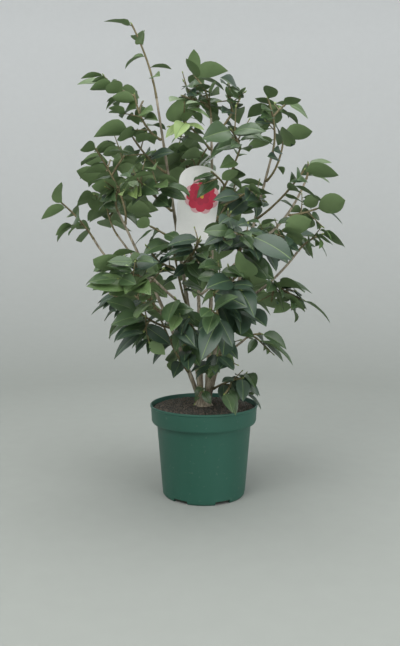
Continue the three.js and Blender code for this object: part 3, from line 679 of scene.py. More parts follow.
# ---- Geometry Nodes ----
def new_tree(name, inputs):
    """A tree with geometry in and out and these named inputs, and the sockets that give them inside it."""
    tree = bpy.data.node_groups.new(name, "GeometryNodeTree")
    tree.interface.new_socket("Geometry", in_out="INPUT", socket_type="NodeSocketGeometry")
    for label, kind in inputs.items():
        tree.interface.new_socket(label, in_out="INPUT", socket_type="NodeSocket" + kind)
    tree.interface.new_socket("Geometry", in_out="OUTPUT", socket_type="NodeSocketGeometry")
    return tree, add_node(tree, "NodeGroupInput").outputs


def close_tree(tree, geometry):
    add_node(tree, "NodeGroupOutput", {"Geometry": geometry})
    return tree


def shaped(name, mesh, tree, values, spent=()):
    """A plain piece from what the tree makes of a mesh, without the attributes that only the tree needed."""
    rough = bpy.data.objects.new(name + "_guide", mesh)
    bpy.context.scene.collection.objects.link(rough)
    modifier = rough.modifiers.new(tree.name, "NODES")
    modifier.node_group = tree
    for socket in tree.interface.items_tree:
        if socket.in_out == "INPUT" and socket.name in values:
            modifier[socket.identifier] = values[socket.name]
    made = made_plain(name, rough)
    for label in spent:
        made.data.attributes.remove(made.data.attributes[label])
    return made


def made_plain(name, rough):
    """The evaluated shape of an object as a new plain object. The old one goes."""
    graph = bpy.context.evaluated_depsgraph_get()
    mesh = bpy.data.meshes.new_from_object(rough.evaluated_get(graph))
    mesh.name = name
    bpy.data.objects.remove(rough)
    return piece_of(name, mesh)


def piece_of(name, mesh, finish=None):
    if finish:
        mesh.materials.append(finish)
    made = bpy.data.objects.new(name, mesh)
    bpy.context.scene.collection.objects.link(made)
    return made


def mesh_from(name, shell):
    mesh = bpy.data.meshes.new(name)
    shell.to_mesh(mesh)
    shell.free()
    return mesh


def skin_over(shell, rings):
    """Faces from each ring of vertices to the next. A ring of a single vertex is a pole."""
    for low, high in zip(rings, rings[1:]):
        count = max(len(low), len(high))
        for i in range(count):
            j = (i + 1) % count
            corners = [low[i % len(low)], low[j % len(low)], high[j % len(high)], high[i % len(high)]]
            shell.faces.new(list(dict.fromkeys(corners)))


def collection_of(name, members):
    """A collection that only a tree reads. It isn't in the scene."""
    made = bpy.data.collections.new(name)
    for member in members:
        made.objects.link(member)
    return made


def named(tree, name, kind="FLOAT"):
    """The socket of an attribute that the guide mesh carries."""
    return add_node(tree, "GeometryNodeInputNamedAttribute", {"Name": name}, data_type=kind).outputs[0]


def bark_tube_tree():
    """A round tube along each line of points, as wide as its girth says, with the bark's low relief."""
    inputs = {"Sides": "Int", "Relief": "Float", "Relief scale": "Float", "Bark": "Material"}
    tree, given = new_tree("bark_tube", inputs)
    lines = add_node(tree, "GeometryNodeMeshToCurve", {"Mesh": given["Geometry"]}).outputs["Curve"]
    circle = {"Resolution": given["Sides"], "Radius": 1.0}
    section = add_node(tree, "GeometryNodeCurvePrimitiveCircle", circle).outputs["Curve"]
    swept = {"Curve": lines, "Profile Curve": section, "Scale": named(tree, "girth"), "Fill Caps": True}
    tube = add_node(tree, "GeometryNodeCurveToMesh", swept).outputs["Mesh"]
    place = {0: add_node(tree, "GeometryNodeInputPosition").outputs[0], 1: (1, 1, 0.3)}
    drawn_out = add_node(tree, "ShaderNodeVectorMath", place, operation="MULTIPLY").outputs[0]
    fissures = {"Vector": drawn_out, "Scale": given["Relief scale"], "Detail": 3.0}
    bumps = add_node(tree, "ShaderNodeTexNoise", fissures).outputs["Fac"]
    centred = add_node(tree, "ShaderNodeMath", {0: bumps, 1: 0.5}, operation="SUBTRACT").outputs[0]
    scaled = {0: centred, 1: given["Relief"]}
    height = add_node(tree, "ShaderNodeMath", scaled, operation="MULTIPLY").outputs[0]
    outward = add_node(tree, "GeometryNodeInputNormal").outputs[0]
    push = add_node(tree, "ShaderNodeVectorMath", {0: outward, "Scale": height}, operation="SCALE").outputs[0]
    rough = add_node(tree, "GeometryNodeSetPosition", {"Geometry": tube, "Offset": push}).outputs[0]
    smooth = add_node(tree, "GeometryNodeSetShadeSmooth", {"Geometry": rough}).outputs[0]
    plain = add_node(tree, "GeometryNodeRealizeInstances", {"Geometry": smooth}).outputs[0]
    dressed = add_node(tree, "GeometryNodeSetMaterial", {"Geometry": plain, "Material": given["Bark"]})
    return close_tree(tree, dressed.outputs[0])


def set_on_points(tree, points, forms, number, turned_by, size):
    """Sets one of a collection's forms on each point and makes it real."""
    apart = {"Collection": forms, "Separate Children": True, "Reset Children": True}
    forms = add_node(tree, "GeometryNodeCollectionInfo", apart).outputs["Instances"]
    picked = {"Instance": forms, "Pick Instance": True, "Instance Index": number}
    set_out = {"Points": points, **picked, "Rotation": turned_by, "Scale": size}
    grown = add_node(tree, "GeometryNodeInstanceOnPoints", set_out).outputs["Instances"]
    return add_node(tree, "GeometryNodeRealizeInstances", {"Geometry": grown}).outputs[0]


LEAF_MATERIALS = ("Upper face", "Underside", "Rib")  # by the number that a form's faces carry as their part


def leaf_tree():
    """Sets a leaf form on each point, turned and sized by the point, then bends it down by its arch."""
    inputs = {"Leaf forms": "Collection", **{label: "Material" for label in LEAF_MATERIALS}}
    tree, given = new_tree("leaves_on_twigs", inputs)
    along, facing, size = (named(tree, label, "FLOAT_VECTOR") for label in ("along", "facing", "size"))
    axes = {"Primary Axis": along, "Secondary Axis": facing}
    turn = add_node(tree, "FunctionNodeAxesToRotation", axes, primary_axis="X", secondary_axis="Z").outputs[0]
    form = named(tree, "form", "INT")
    plain = set_on_points(tree, given["Geometry"], given["Leaf forms"], form, turn, size)
    share, sag = named(tree, "share"), named(tree, "sag")
    hooked = add_node(tree, "ShaderNodeMath", {0: share, 1: HOOK}, operation="POWER").outputs[0]
    drop = add_node(tree, "ShaderNodeMath", {0: hooked, 1: sag}, operation="MULTIPLY").outputs[0]
    down = add_node(tree, "ShaderNodeVectorMath", {0: facing, "Scale": drop}, operation="SCALE").outputs[0]
    geometry = add_node(tree, "GeometryNodeSetPosition", {"Geometry": plain, "Offset": down}).outputs[0]
    part = named(tree, "part", "INT")
    for number, label in enumerate(LEAF_MATERIALS):
        same = {"data_type": "INT", "operation": "EQUAL"}
        chosen = add_node(tree, "FunctionNodeCompare", {2: part, 3: number}, **same).outputs[0]
        dressed = {"Geometry": geometry, "Selection": chosen, "Material": given[label]}
        geometry = add_node(tree, "GeometryNodeSetMaterial", dressed).outputs[0]
    return close_tree(tree, geometry)


def scatter_tree(form_count):
    """Strews crumbs over the faces it is given, each turned and sized at random."""
    inputs = {"Crumbs": "Collection", "Density": "Float", "Seed": "Int", "Least": "Float", "Most": "Float"}
    tree, given = new_tree("strewn_crumbs", {**inputs, "Finish": "Material"})
    spread = {"Mesh": given["Geometry"], "Density": given["Density"], "Seed": given["Seed"]}
    spots = add_node(tree, "GeometryNodeDistributePointsOnFaces", spread).outputs["Points"]
    full_turn = {0: (0, 0, 0), 1: (math.tau, math.tau, math.tau), "Seed": 3}
    turn = add_node(tree, "FunctionNodeRandomValue", full_turn, data_type="FLOAT_VECTOR").outputs[0]
    turn = add_node(tree, "FunctionNodeEulerToRotation", {"Euler": turn}).outputs[0]
    sizes = {2: given["Least"], 3: given["Most"], "Seed": 5}
    size = add_node(tree, "FunctionNodeRandomValue", sizes, data_type="FLOAT").outputs[1]
    forms = {4: 0, 5: form_count - 1, "Seed": 7}
    form = add_node(tree, "FunctionNodeRandomValue", forms, data_type="INT").outputs[2]
    plain = set_on_points(tree, spots, given["Crumbs"], form, turn, size)
    dressed = add_node(tree, "GeometryNodeSetMaterial", {"Geometry": plain, "Material": given["Finish"]})
    return close_tree(tree, dressed.outputs[0])


# ---- Stems, boughs and twigs ----
STEP_LENGTH = 5  # between the rings of a limb's tube
ROOT_GIRTH = 0.9  # of a limb inside its parent, against its foot
ROOT_DEPTH = 8  # that a stem reaches into the root crown
COLLAR_LENGTH = 5  # over which the swelling at a limb's foot dies away
NODE_SPACING = 26  # between the old leaf scars, which stand out as low rings
NODE_WIDTH = 2.2
NODE_SWELL = 0.16
NODE_SHIFT = 7.3  # sets each limb's rings off by its length


def guide_lines(name, limbs, collar):
    """A mesh of one line of points for each limb, rooted inside its parent, with its girth at each point."""
    points, girths, edges = [], [], []
    for limb in limbs:
        count = max(6, round(limb.length / STEP_LENGTH))
        first = len(points)
        if limb.socket is not None:
            points.append(limb.socket)
            girths.append(limb.foot_radius * ROOT_GIRTH)
        phase = (limb.length * NODE_SHIFT) % NODE_SPACING
        for i in range(count + 1):
            t = i / count
            away = (t * limb.length + phase) % NODE_SPACING - NODE_SPACING / 2
            scar = NODE_SWELL * math.exp(-((away / NODE_WIDTH) ** 2))
            swell = 1 + scar + collar * math.exp(-t * limb.length / COLLAR_LENGTH)
            points.append(limb.point(t))
            girths.append(limb.radius(t) * swell)
        edges += [(i, i + 1) for i in range(first, len(points) - 1)]
    mesh = bpy.data.meshes.new(name)
    mesh.from_pydata([p * MM for p in points], edges, [])
    girth = mesh.attributes.new("girth", "FLOAT", "POINT")
    girth.data.foreach_set("value", np.array(girths) * MM)
    return mesh


CROWN_SIDES = 60
CROWN_RINGS = 14
CROWN_LOBES = 6
CROWN_LOBE_DEPTH = 0.2  # of the radius, between the stems
CROWN_FLARE_POWER = 2.4  # the higher, the lower down it flares
CROWN_GNARL = 0.8  # height of its bumps
CROWN_GNARL_SIZE = 6
CROWN_ROUND_FROM = 0.8  # of the height, where the top edge starts to round off
CROWN_ROUND = 1.2
CROWN_CREST = 1.4  # that its middle rises


def root_crown():
    """The short trunk: its foot flares into the soil and its sides swell under each stem."""
    shell = bmesh.new()
    rings = []
    for ring in range(CROWN_RINGS + 1):
        up = ring / CROWN_RINGS
        level = SOIL_LEVEL + GAP + CROWN_HEIGHT * up
        flare = (FLARE_RADIUS - CROWN_RADIUS) * (1 - up) ** CROWN_FLARE_POWER
        rounded = CROWN_ROUND * max(0, up - CROWN_ROUND_FROM) / (1 - CROWN_ROUND_FROM)
        row = []
        for side in range(CROWN_SIDES):
            turn = math.tau * side / CROWN_SIDES
            lobes = 0.5 + 0.5 * math.cos(CROWN_LOBES * turn)
            gnarl = noise.noise(Vector((3 * math.cos(turn), 3 * math.sin(turn), level / CROWN_GNARL_SIZE)))
            radius = CROWN_RADIUS * (1 - CROWN_LOBE_DEPTH + CROWN_LOBE_DEPTH * lobes) + flare
            radius += CROWN_GNARL * gnarl - rounded
            spot = Vector((radius * math.cos(turn), radius * math.sin(turn), level))
            row.append(shell.verts.new(spot * MM))
        rings.append(row)
    foot = shell.verts.new((0, 0, (SOIL_LEVEL + GAP) * MM))
    crest = shell.verts.new((0, 0, (SOIL_LEVEL + CROWN_HEIGHT + GAP + CROWN_CREST) * MM))
    skin_over(shell, [[foot], *rings, [crest]])
    mesh = mesh_from("root_crown_bark", shell)
    mesh.shade_smooth()
    return piece_of("root_crown_bark", mesh, GREY_BARK)


bark_tube = bark_tube_tree()


def bark_tubes(name, limbs, finish, collar, sides, relief_mm, relief_size):
    """One piece of bark-covered tubes, with a relief of this height and size of feature in millimetres."""
    relief = {"Relief": relief_mm * MM, "Relief scale": per_metre(relief_size)}
    guide = guide_lines(name + "_guide", limbs, collar)
    return shaped(name, guide, bark_tube, {"Sides": sides, **relief, "Bark": finish}, ["girth"])


for name, *_ in STEMS:
    stem = shrub.limbs[name]
    stem.socket = stem.point(0) - stem.direction(0) * ROOT_DEPTH
limbs_piece = bark_tubes(
    "stems_and_boughs", shrub.limbs.values(), GREY_BARK, collar=0.12, sides=14, relief_mm=1.1, relief_size=5
)
crown_piece = root_crown()
all_twigs = [twig for mass in shrub.masses for twig, _ in mass.sprays]
twigs_piece = bark_tubes(
    "twigs_and_shoots", all_twigs, SHOOT_SKIN, collar=0.25, sides=7, relief_mm=0.4, relief_size=3
)

# ---- Leaves ----
# Share of the length and of the full width at each cut across a leaf. The first two are its stalk.
LEAF_CUTS = [
    (0.0, 0.05),
    (0.085, 0.055),
    (0.13, 0.42),
    (0.23, 0.78),
    (0.37, 0.98),
    (0.53, 1.0),
    (0.68, 0.86),
    (0.81, 0.6),
    (0.91, 0.3),
]
LEAF_ACROSS = 0.56  # where each half of the blade is cut, from midrib to margin
RIB_HALF = 0.016  # of the full width
RIB_LIMIT = 0.4  # of the half width, at most
BULGE = 0.022  # each half swells up between rib and margin
WAVE_RATE = 11  # of the margin's waves, in radians along the leaf
KEEL = 0.016  # of the full width, under the rib
STALK_KEEL = 0.02  # more of it under the stalk
STALK_END = 0.1  # of the length
UPPER, UNDER, RIB = range(len(LEAF_MATERIALS))

# Forms of leaf: how far the halves fold up from the rib, how much the margin waves, how far the tip twists.
LEAF_FORMS = [
    (0.2, 0.03, 0.1),
    (0.34, 0.02, -0.25),
    (0.12, 0.05, 0.3),
    (0.46, 0.03, 0.05),
    (0.26, 0.06, -0.4),
    (0.05, 0.04, 0.2),
]


def leaf_form(number, fold, wave, twist):
    """A leaf one long and one wide along +X, closed, its upper side folded along the rib."""
    verts, shares = [], []
    for share, spread in LEAF_CUTS:
        half = spread / 2
        rib = min(RIB_HALF, half * RIB_LIMIT)
        turn = twist * share
        for y in (-half, -half * LEAF_ACROSS, -rib, rib, half * LEAF_ACROSS, half):
            z = fold * abs(y)
            if abs(y) > rib and share > STALK_END:
                outer = abs(y) / half
                waving = math.sin(WAVE_RATE * share + number + math.copysign(1, y))
                z += BULGE * math.sin(math.pi * outer) + wave * outer**2 * waving * (1 - share)
            across, up = math.cos(turn), math.sin(turn)
            verts.append((share, y * across - z * up, y * up + z * across))
            shares.append(share)
        verts.append((share, 0, -(KEEL + STALK_KEEL * (share < STALK_END))))
        shares.append(share)
    tip = len(verts)
    verts.append((1, 0, 0))
    shares.append(1)
    faces, parts = [], []
    row = 7  # vertices at each cut
    for start in range(0, tip, row):
        last = start + row == tip
        for i in range(row):
            a, b = start + i, start + (i + 1) % row
            faces.append((a, b, tip) if last else (a, b, b + row, a + row))
            stalk_or_rib = start == 0 or i == 2
            parts.append(UNDER if i > 4 and start else RIB if stalk_or_rib else UPPER)
    faces.append(tuple(reversed(range(row))))
    parts.append(RIB)
    mesh = bpy.data.meshes.new(f"leaf_form_{number}")
    mesh.from_pydata(verts, [], [tuple(reversed(face)) for face in faces])
    mesh.attributes.new("share", "FLOAT", "POINT").data.foreach_set("value", shares)
    mesh.attributes.new("part", "INT", "FACE").data.foreach_set("value", parts)
    mesh.shade_smooth()
    creases = {0, 2, 3, 5}  # the margins and both sides of the rib
    sharp = mesh.attributes.new("sharp_edge", "BOOLEAN", "EDGE")
    for edge in mesh.edges:
        a, b = edge.vertices
        lengthwise = a % row == b % row or tip in (a, b)
        sharp.data[edge.index].value = lengthwise and min(a, b) % row in creases
    return bpy.data.objects.new(f"leaf_form_{number}", mesh)


leaf_forms = collection_of("leaf_forms", [leaf_form(i, *form) for i, form in enumerate(LEAF_FORMS)])

# How the leaf colours are dealt to the sprays of a mass, by its tone. Masses in shade get mostly the dark
# old colour, which is partly painted shade. Open and bright masses get more of the lightened full-grown
# colour, which is painted light.
DEAL = {
    "shade": (("old", 0.62), ("grown", 0.32), ("sunlit", 0.06)),
    "open": (("old", 0.24), ("grown", 0.5), ("sunlit", 0.22), ("tender", 0.04)),
    "bright": (("old", 0.1), ("grown", 0.44), ("sunlit", 0.4), ("tender", 0.06)),
    "tender": (("grown", 0.3), ("sunlit", 0.35), ("tender", 0.35)),
}
DEAL_SEED = 41
dealer = np.random.default_rng(DEAL_SEED)


def deal_leaf_colour(tone):
    dealt_colours, chances = zip(*DEAL[tone])
    return dealt_colours[dealer.choice(len(dealt_colours), p=chances)]


def point_guide(name, points, **fields):
    """A mesh of one point at the root of each leaf or bud, with what the tree needs to know of it."""
    mesh = bpy.data.meshes.new(name)
    mesh.from_pydata([point * MM for point in points], [], [])
    for label, values in fields.items():
        values = np.array(values)
        kind = "FLOAT_VECTOR" if values.ndim == 2 else "INT" if values.dtype.kind == "i" else "FLOAT"
        attribute = mesh.attributes.new(label, kind, "POINT")
        attribute.data.foreach_set("vector" if values.ndim == 2 else "value", values.ravel())
    return mesh


def leaf_guide(name, leaves):
    return point_guide(
        name,
        [leaf.root for leaf in leaves],
        along=[leaf.along for leaf in leaves],
        facing=[leaf.facing for leaf in leaves],
        size=[(leaf.length * MM, leaf.width * MM, leaf.width * MM) for leaf in leaves],
        sag=[-leaf.length * leaf.arch * MM for leaf in leaves],
        form=[int(dealer.integers(len(LEAF_FORMS))) for _ in leaves],
    )


leaves_on_twigs = leaf_tree()
LEAF_ATTRIBUTES = ("along", "facing", "size", "sag", "form", "share", "part")


def set_leaves(name, guide, forms, *finishes):
    """One piece of leaves or buds, with the materials of its upper faces, undersides and ribs."""
    values = {"Leaf forms": forms, **dict(zip(LEAF_MATERIALS, finishes))}
    return shaped(name, guide, leaves_on_twigs, values, LEAF_ATTRIBUTES)


# Each spray takes one leaf colour. The dark old colour is partly painted shade, and the lightened full-grown
# one is painted light.
leaves_of = {age: [] for age in LEAF_COLOURS}
for mass in shrub.masses:
    for _, leaves in mass.sprays:
        leaves_of[deal_leaf_colour(mass.tone)] += leaves
leaf_pieces = []
for age, leaves in leaves_of.items():
    guide = leaf_guide(f"leaves_{age}_guide", leaves)
    leaf_pieces.append(set_leaves(f"leaves_{age}", guide, leaf_forms, WAXED[age], MATT_UNDERSIDE, LEAF_RIB))


# ---- Pot ----
def turned(profile, sides):
    """A closed shell from a profile of (radius, height) that starts and ends on the axis."""
    shell = bmesh.new()
    turns = [math.tau * i / sides for i in range(sides)]
    rings = []
    for radius, height in profile:
        at = turns if radius else [0]
        spots = [(radius * math.cos(a) * MM, radius * math.sin(a) * MM, height * MM) for a in at]
        rings.append([shell.verts.new(spot) for spot in spots])
    skin_over(shell, rings)
    bmesh.ops.recalc_face_normals(shell, faces=shell.faces)
    return shell


POT_SIDES = 144
POT_EDGE = 0.5  # radius of the wall's edges
ROUNDED_FROM = 28  # degrees between two faces, above which the edge is rounded
SHARP_FROM = 32  # degrees, above which it is then shaded sharp


def moulded_pot():
    """The pot's wall with its rolled lip, band and foot, its drain notches cut and its edges rounded."""
    profile = [
        (0, 0),
        (BASE_RADIUS - 2, 0),
        (BASE_RADIUS, 3),
        (BASE_RADIUS + 0.5, 9),
        (SHOULDER_RADIUS, BAND_FOOT - 2),
        (BAND_FOOT_RADIUS, BAND_FOOT),
        (BAND_FOOT_RADIUS + 1.6, BAND_FOOT + 4),
        (RIM_RADIUS - 1.6, POT_HEIGHT - 5.4),
        (RIM_RADIUS - 1.0, POT_HEIGHT - 4.8),
        (RIM_RADIUS, POT_HEIGHT - 4),
        (RIM_RADIUS, POT_HEIGHT - 0.9),
        (RIM_RADIUS - 0.9, POT_HEIGHT),
        (RIM_RADIUS - WALL, POT_HEIGHT),
        (RIM_RADIUS - WALL - 0.6, POT_HEIGHT - 0.8),
        (BAND_FOOT_RADIUS - WALL, BAND_FOOT + 3),
        (SHOULDER_RADIUS - WALL, BAND_FOOT - 2),
        (BASE_RADIUS - WALL, FLOOR),
        (0, FLOOR),
    ]
    wall = piece_of("pot_wall", mesh_from("pot_wall", turned(profile, POT_SIDES)), POT_PLASTIC)
    cutter = bmesh.new()
    for i in range(NOTCH_COUNT):
        turn = math.radians(NOTCH_TURN + 360 / NOTCH_COUNT * i)
        size = Matrix.Diagonal((2 * NOTCH_DEPTH * MM, NOTCH_WIDTH * MM, 2 * NOTCH_HEIGHT * MM, 1))
        place = Matrix.Rotation(turn, 4, "Z") @ Matrix.Translation(((BASE_RADIUS + 1) * MM, 0, 0))
        bmesh.ops.create_cube(cutter, size=1, matrix=place @ size)
    notches = piece_of("notches", mesh_from("notches", cutter))
    cut = wall.modifiers.new("notches", "BOOLEAN")
    cut.object, cut.operation, cut.solver = notches, "DIFFERENCE", "EXACT"
    rounded = wall.modifiers.new("rounded", "BEVEL")
    rounded.width, rounded.segments = POT_EDGE * MM, 2
    rounded.limit_method, rounded.angle_limit = "ANGLE", math.radians(ROUNDED_FROM)
    pot = made_plain("pot_moulded", wall)
    bpy.data.objects.remove(notches)
    pot.data.shade_smooth()
    pot.data.set_sharp_from_angle(angle=math.radians(SHARP_FROM))
    return pot


pot_piece = moulded_pot()


# ---- Growing medium ----
MEDIUM_RINGS = 44
MEDIUM_SIDES = 160
MEDIUM_EDGE = (RIM_RADIUS + BAND_FOOT_RADIUS) / 2 - WALL - 1.6  # radius of its top, clear of the rim band
MEDIUM_SINK = 3  # of its top, from the middle to the edge
SINK_FROM = 30  # from the axis
SINK_POWER = 2.2
LUMPS = ((1.7, 13), (1.1, 5), (0.7, 2.2))  # height and size of the lumps, of the clods and of the crumbs
LUMP_LIMIT = 1.6
EDGE_CALM = 4  # the lumps die away this near to the wall, down to a share of their height
EDGE_SHARE = 0.15
TOP_DEPTH = 8  # of the part that is lumpy


def medium_surface():
    """The growing medium: a crumbly top that sinks a little towards the rim, and plain sides in the pot."""
    clear = WALL + 2 * GAP
    profile = [
        (0, FLOOR + GAP),
        (BASE_RADIUS - clear, FLOOR + GAP),
        (SHOULDER_RADIUS - clear, BAND_FOOT - 2),
        (BAND_FOOT_RADIUS - clear, BAND_FOOT + 3 + GAP),
    ]
    for i in range(MEDIUM_RINGS):
        radius = MEDIUM_EDGE * (1 - i / MEDIUM_RINGS)
        outer = max(0, (radius - SINK_FROM) / (MEDIUM_EDGE - SINK_FROM))
        profile.append((radius, SOIL_LEVEL - MEDIUM_SINK * outer**SINK_POWER))
    profile.append((0, SOIL_LEVEL))
    shell = turned(profile, MEDIUM_SIDES)
    for vert in shell.verts:
        if vert.co.z > (SOIL_LEVEL - TOP_DEPTH) * MM:
            place = vert.co / MM
            lumps = sum(height * noise.noise(place / size) for height, size in LUMPS)
            calm = min(1, max(EDGE_SHARE, (MEDIUM_EDGE - math.hypot(place.x, place.y)) / EDGE_CALM))
            vert.co.z += min(lumps, LUMP_LIMIT) * MM * calm
    bmesh.ops.recalc_face_normals(shell, faces=shell.faces)
    mesh = mesh_from("growing_medium_surface", shell)
    mesh.shade_smooth()
    return piece_of("growing_medium_surface", mesh, PEAT)


CRUMB_DENT = 0.3


def crumb(number, stretch):
    """A broken chip about one across: a ball of few faces, flattened and dented."""
    shell = bmesh.new()
    bmesh.ops.create_icosphere(shell, subdivisions=1, radius=0.5)
    for vert in shell.verts:
        dent = 1 + CRUMB_DENT * noise.noise(vert.co * 4 + Vector((number * 9, 0, 0)))
        vert.co = Vector(vert.co[i] * stretch[i] * dent for i in range(3))
    return bpy.data.objects.new(f"crumb_{number}", mesh_from(f"crumb_{number}", shell))


medium_piece = medium_surface()
CRUMB_FORMS = [(1.0, 0.6, 0.34), (1.0, 0.45, 0.42), (0.8, 0.75, 0.6), (1.0, 0.35, 0.22)]
crumb_forms = collection_of("crumb_forms", [crumb(i, stretch) for i, stretch in enumerate(CRUMB_FORMS)])
STREWN_TO = 98  # from the axis


def top_faces(name, piece):
    """A copy of the piece's upward faces, clear of the root crown and the rim."""
    shell = bmesh.new()
    shell.from_mesh(piece.data)
    hidden = []
    for face in shell.faces:
        centre = face.calc_center_median() / MM
        out = math.hypot(centre.x, centre.y)
        if centre.z < SOIL_LEVEL - TOP_DEPTH + 1 or not FLARE_RADIUS < out < STREWN_TO:
            hidden.append(face)
    bmesh.ops.delete(shell, geom=hidden, context="FACES")
    return mesh_from(name, shell)


strewn_crumbs = scatter_tree(len(CRUMB_FORMS))
crumb_pieces = []
# Name, how many to a square metre, seed, least and greatest size in millimetres, and material.
for name, density, seed, least, most, finish in (
    ("medium_bark_chips", 24000.0, 11, 3.0, 8.5, BARK_CHIP),
    ("medium_peat_crumbs", 60000.0, 12, 1.5, 4.0, PEAT),
    ("medium_grit", 1300.0, 13, 1.4, 3.0, PALE_GRIT),
):
    values = {"Crumbs": crumb_forms, "Density": density, "Seed": seed, "Least": least * MM, "Most": most * MM}
    guide = top_faces(name + "_guide", medium_piece)
    crumb_pieces.append(shaped(name, guide, strewn_crumbs, {**values, "Finish": finish}))


# ---- Buds ----
# Share of the length and of the full width at each ring of a bud. The two steps are edges of its scales.
BUD_RINGS = ((0, 0.35), (0.18, 0.85), (0.36, 1.0), (0.4, 0.88), (0.62, 0.72), (0.66, 0.6), (0.86, 0.25))
BUD_SIDES = 7
BUD_ROOT = 1.0  # how deep a bud sits in its twig's tip


def bud_form(number, length, width):
    """A pointed bud along +X, of overlapping scales, drawn as a spindle with two steps."""
    shell = bmesh.new()
    turns = [math.tau * i / BUD_SIDES for i in range(BUD_SIDES)]
    rings = []
    for share, spread in BUD_RINGS:
        radius = width / 2 * spread
        spots = [(share * length, radius * math.cos(a), radius * math.sin(a)) for a in turns]
        rings.append([shell.verts.new(spot) for spot in spots])
    skin_over(shell, [*rings, [shell.verts.new((length, 0, 0))]])
    shell.faces.new(reversed(rings[0]))
    bmesh.ops.recalc_face_normals(shell, faces=shell.faces)
    mesh = mesh_from(f"bud_form_{number}", shell)
    mesh.attributes.new("share", "FLOAT", "POINT")
    mesh.attributes.new("part", "INT", "FACE")
    mesh.shade_smooth()
    return bpy.data.objects.new(f"bud_form_{number}", mesh)


def bud_guide(name):
    """A point at the tip of each twig, with the twig's own direction. The two forms take turns."""
    ways = [twig.direction(1) for twig in all_twigs]
    return point_guide(
        name,
        [twig.head - way * BUD_ROOT for twig, way in zip(all_twigs, ways)],
        along=ways,
        facing=[radial_of(way, 90) for way in ways],
        size=np.full((len(ways), 3), MM),
        sag=np.zeros(len(ways)),
        form=[i % 2 for i in range(len(ways))],
    )


bud_forms = collection_of("bud_forms", [bud_form(0, 7.5, 3.6), bud_form(1, 5.5, 3.0)])
buds_piece = set_leaves("leaf_buds", bud_guide("leaf_buds_guide"), bud_forms, *[BUD_SCALES] * 3)

# ---- Plant label ----
LABEL_PLACE = (
    Matrix.Translation(Vector(LABEL_CENTRE) * MM)
    @ Matrix.Rotation(math.radians(LABEL_TURN), 4, "Y")
    @ Matrix.Rotation(math.radians(90), 4, "X")
    @ Matrix.Scale(MM, 4)
)
ARCH_STEPS = 16
CARD_EDGE = 0.3  # radius of the card's edges


def card_outline():
    """The card's edge, anticlockwise from its lower left corner. Each half of its arch is a cubic curve."""
    half, top = LABEL_WIDTH / 2, LABEL_HEIGHT / 2
    shoulder = top - half * LABEL_ARCH_SHARE
    pulls = [(half, shoulder), (half, shoulder + LABEL_ARCH_PULL), (LABEL_ARCH_FLAT, top), (0, top)]
    arch = []
    for i in range(ARCH_STEPS + 1):
        t = i / ARCH_STEPS
        weights = ((1 - t) ** 3, 3 * (1 - t) ** 2 * t, 3 * (1 - t) * t**2, t**3)
        arch.append(tuple(sum(w * p[k] for w, p in zip(weights, pulls)) for k in (0, 1)))
    mirrored = [(-x, y) for x, y in reversed(arch[:-1])]
    foot = half * LABEL_FOOT_SHARE
    return [(-foot, -top), (foot, -top), *arch, *mirrored]


SKIN = 0.12  # thickness of each layer of print
SKIN_STEP = 0.004  # between the shapes of one layer, so that no two faces share a plane
SKIN_ROOT = 0.05  # how deep the print sits in the card


def plate(name, outlines, back, front, finish):
    """Flat shapes on the card, each a closed plate along its face, each a hair prouder than the last."""
    shell = bmesh.new()
    for number, outline in enumerate(outlines):
        low = [shell.verts.new((x, y, back)) for x, y in outline]
        high = [shell.verts.new((x, y, front + SKIN_STEP * number)) for x, y in outline]
        shell.faces.new(list(reversed(low)))
        shell.faces.new(high)
        skin_over(shell, [low, high])
    bmesh.ops.recalc_face_normals(shell, faces=shell.faces)
    shell.transform(LABEL_PLACE)
    return piece_of(name, mesh_from(name, shell), finish)


PETAL_STEPS = 18
ROSETTE = (6, 12)  # its middle, on the card


def petal(centre, turn, reach, width):
    """A rounded petal from a centre outwards, broader towards its end."""
    outline = []
    for i in range(PETAL_STEPS):
        a = math.tau * i / PETAL_STEPS
        along = reach * (0.5 + 0.5 * math.cos(a))
        across = width / 2 * math.sin(a) * (0.75 + 0.35 * math.cos(a))
        x = along * math.cos(turn) - across * math.sin(turn)
        y = along * math.sin(turn) + across * math.cos(turn)
        outline.append((centre[0] + x, centre[1] + y))
    return outline


def ring_of(count, reach, width, shift):
    return [petal(ROSETTE, math.tau * (i + shift) / count, reach, width) for i in range(count)]


card_piece = plate("label_card", [card_outline()], 0, LABEL_THICKNESS, CARD_WHITE)
edge = card_piece.modifiers.new("rounded", "BEVEL")
edge.width, edge.segments, edge.limit_method = CARD_EDGE * MM, 2, "ANGLE"
card_piece = made_plain("label_card", card_piece)
PRINT = (
    ("label_print_leaves", [petal(ROSETTE, math.radians(a), 40, 19) for a in (38, 74, 112)], INK_GREEN),
    ("label_print_outer_petals", ring_of(8, 34, 27, 0.5), INK_PINK),
    ("label_print_petals", ring_of(8, 30, 24, 0), INK_RED),
    ("label_print_inner_petals", ring_of(6, 17, 15, 0.4), INK_CRIMSON),
    ("label_print_stamens", [petal((ROSETTE[0] - 4, ROSETTE[1]), 0, 8, 9)], INK_YELLOW),
)
print_pieces = [
    plate(name, outlines, LABEL_THICKNESS - SKIN_ROOT, LABEL_THICKNESS + SKIN * (layer + 1), finish)
    for layer, (name, outlines, finish) in enumerate(PRINT)
]

strap = frame["nodes"]["label_strap"]
strap.data.materials.clear()
strap.data.materials.append(STRAP_WHITE)

# ---- What each piece stands for ----
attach(pot_piece, "root")
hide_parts("pot")
for piece in (medium_piece, *crumb_pieces):
    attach(piece, "root")
    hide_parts("growing_medium")
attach(crown_piece, "root")
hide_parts("root_crown")
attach(limbs_piece, "root")
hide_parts(*shrub.limbs)
mass_names = [mass.name for mass in shrub.masses]
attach(twigs_piece, "root")
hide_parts(*mass_names)
for piece in (*leaf_pieces, buds_piece):
    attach(piece, "root")
    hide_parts(*mass_names)
for piece in (card_piece, *print_pieces):
    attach(piece, "root")
    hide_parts("plant_label")

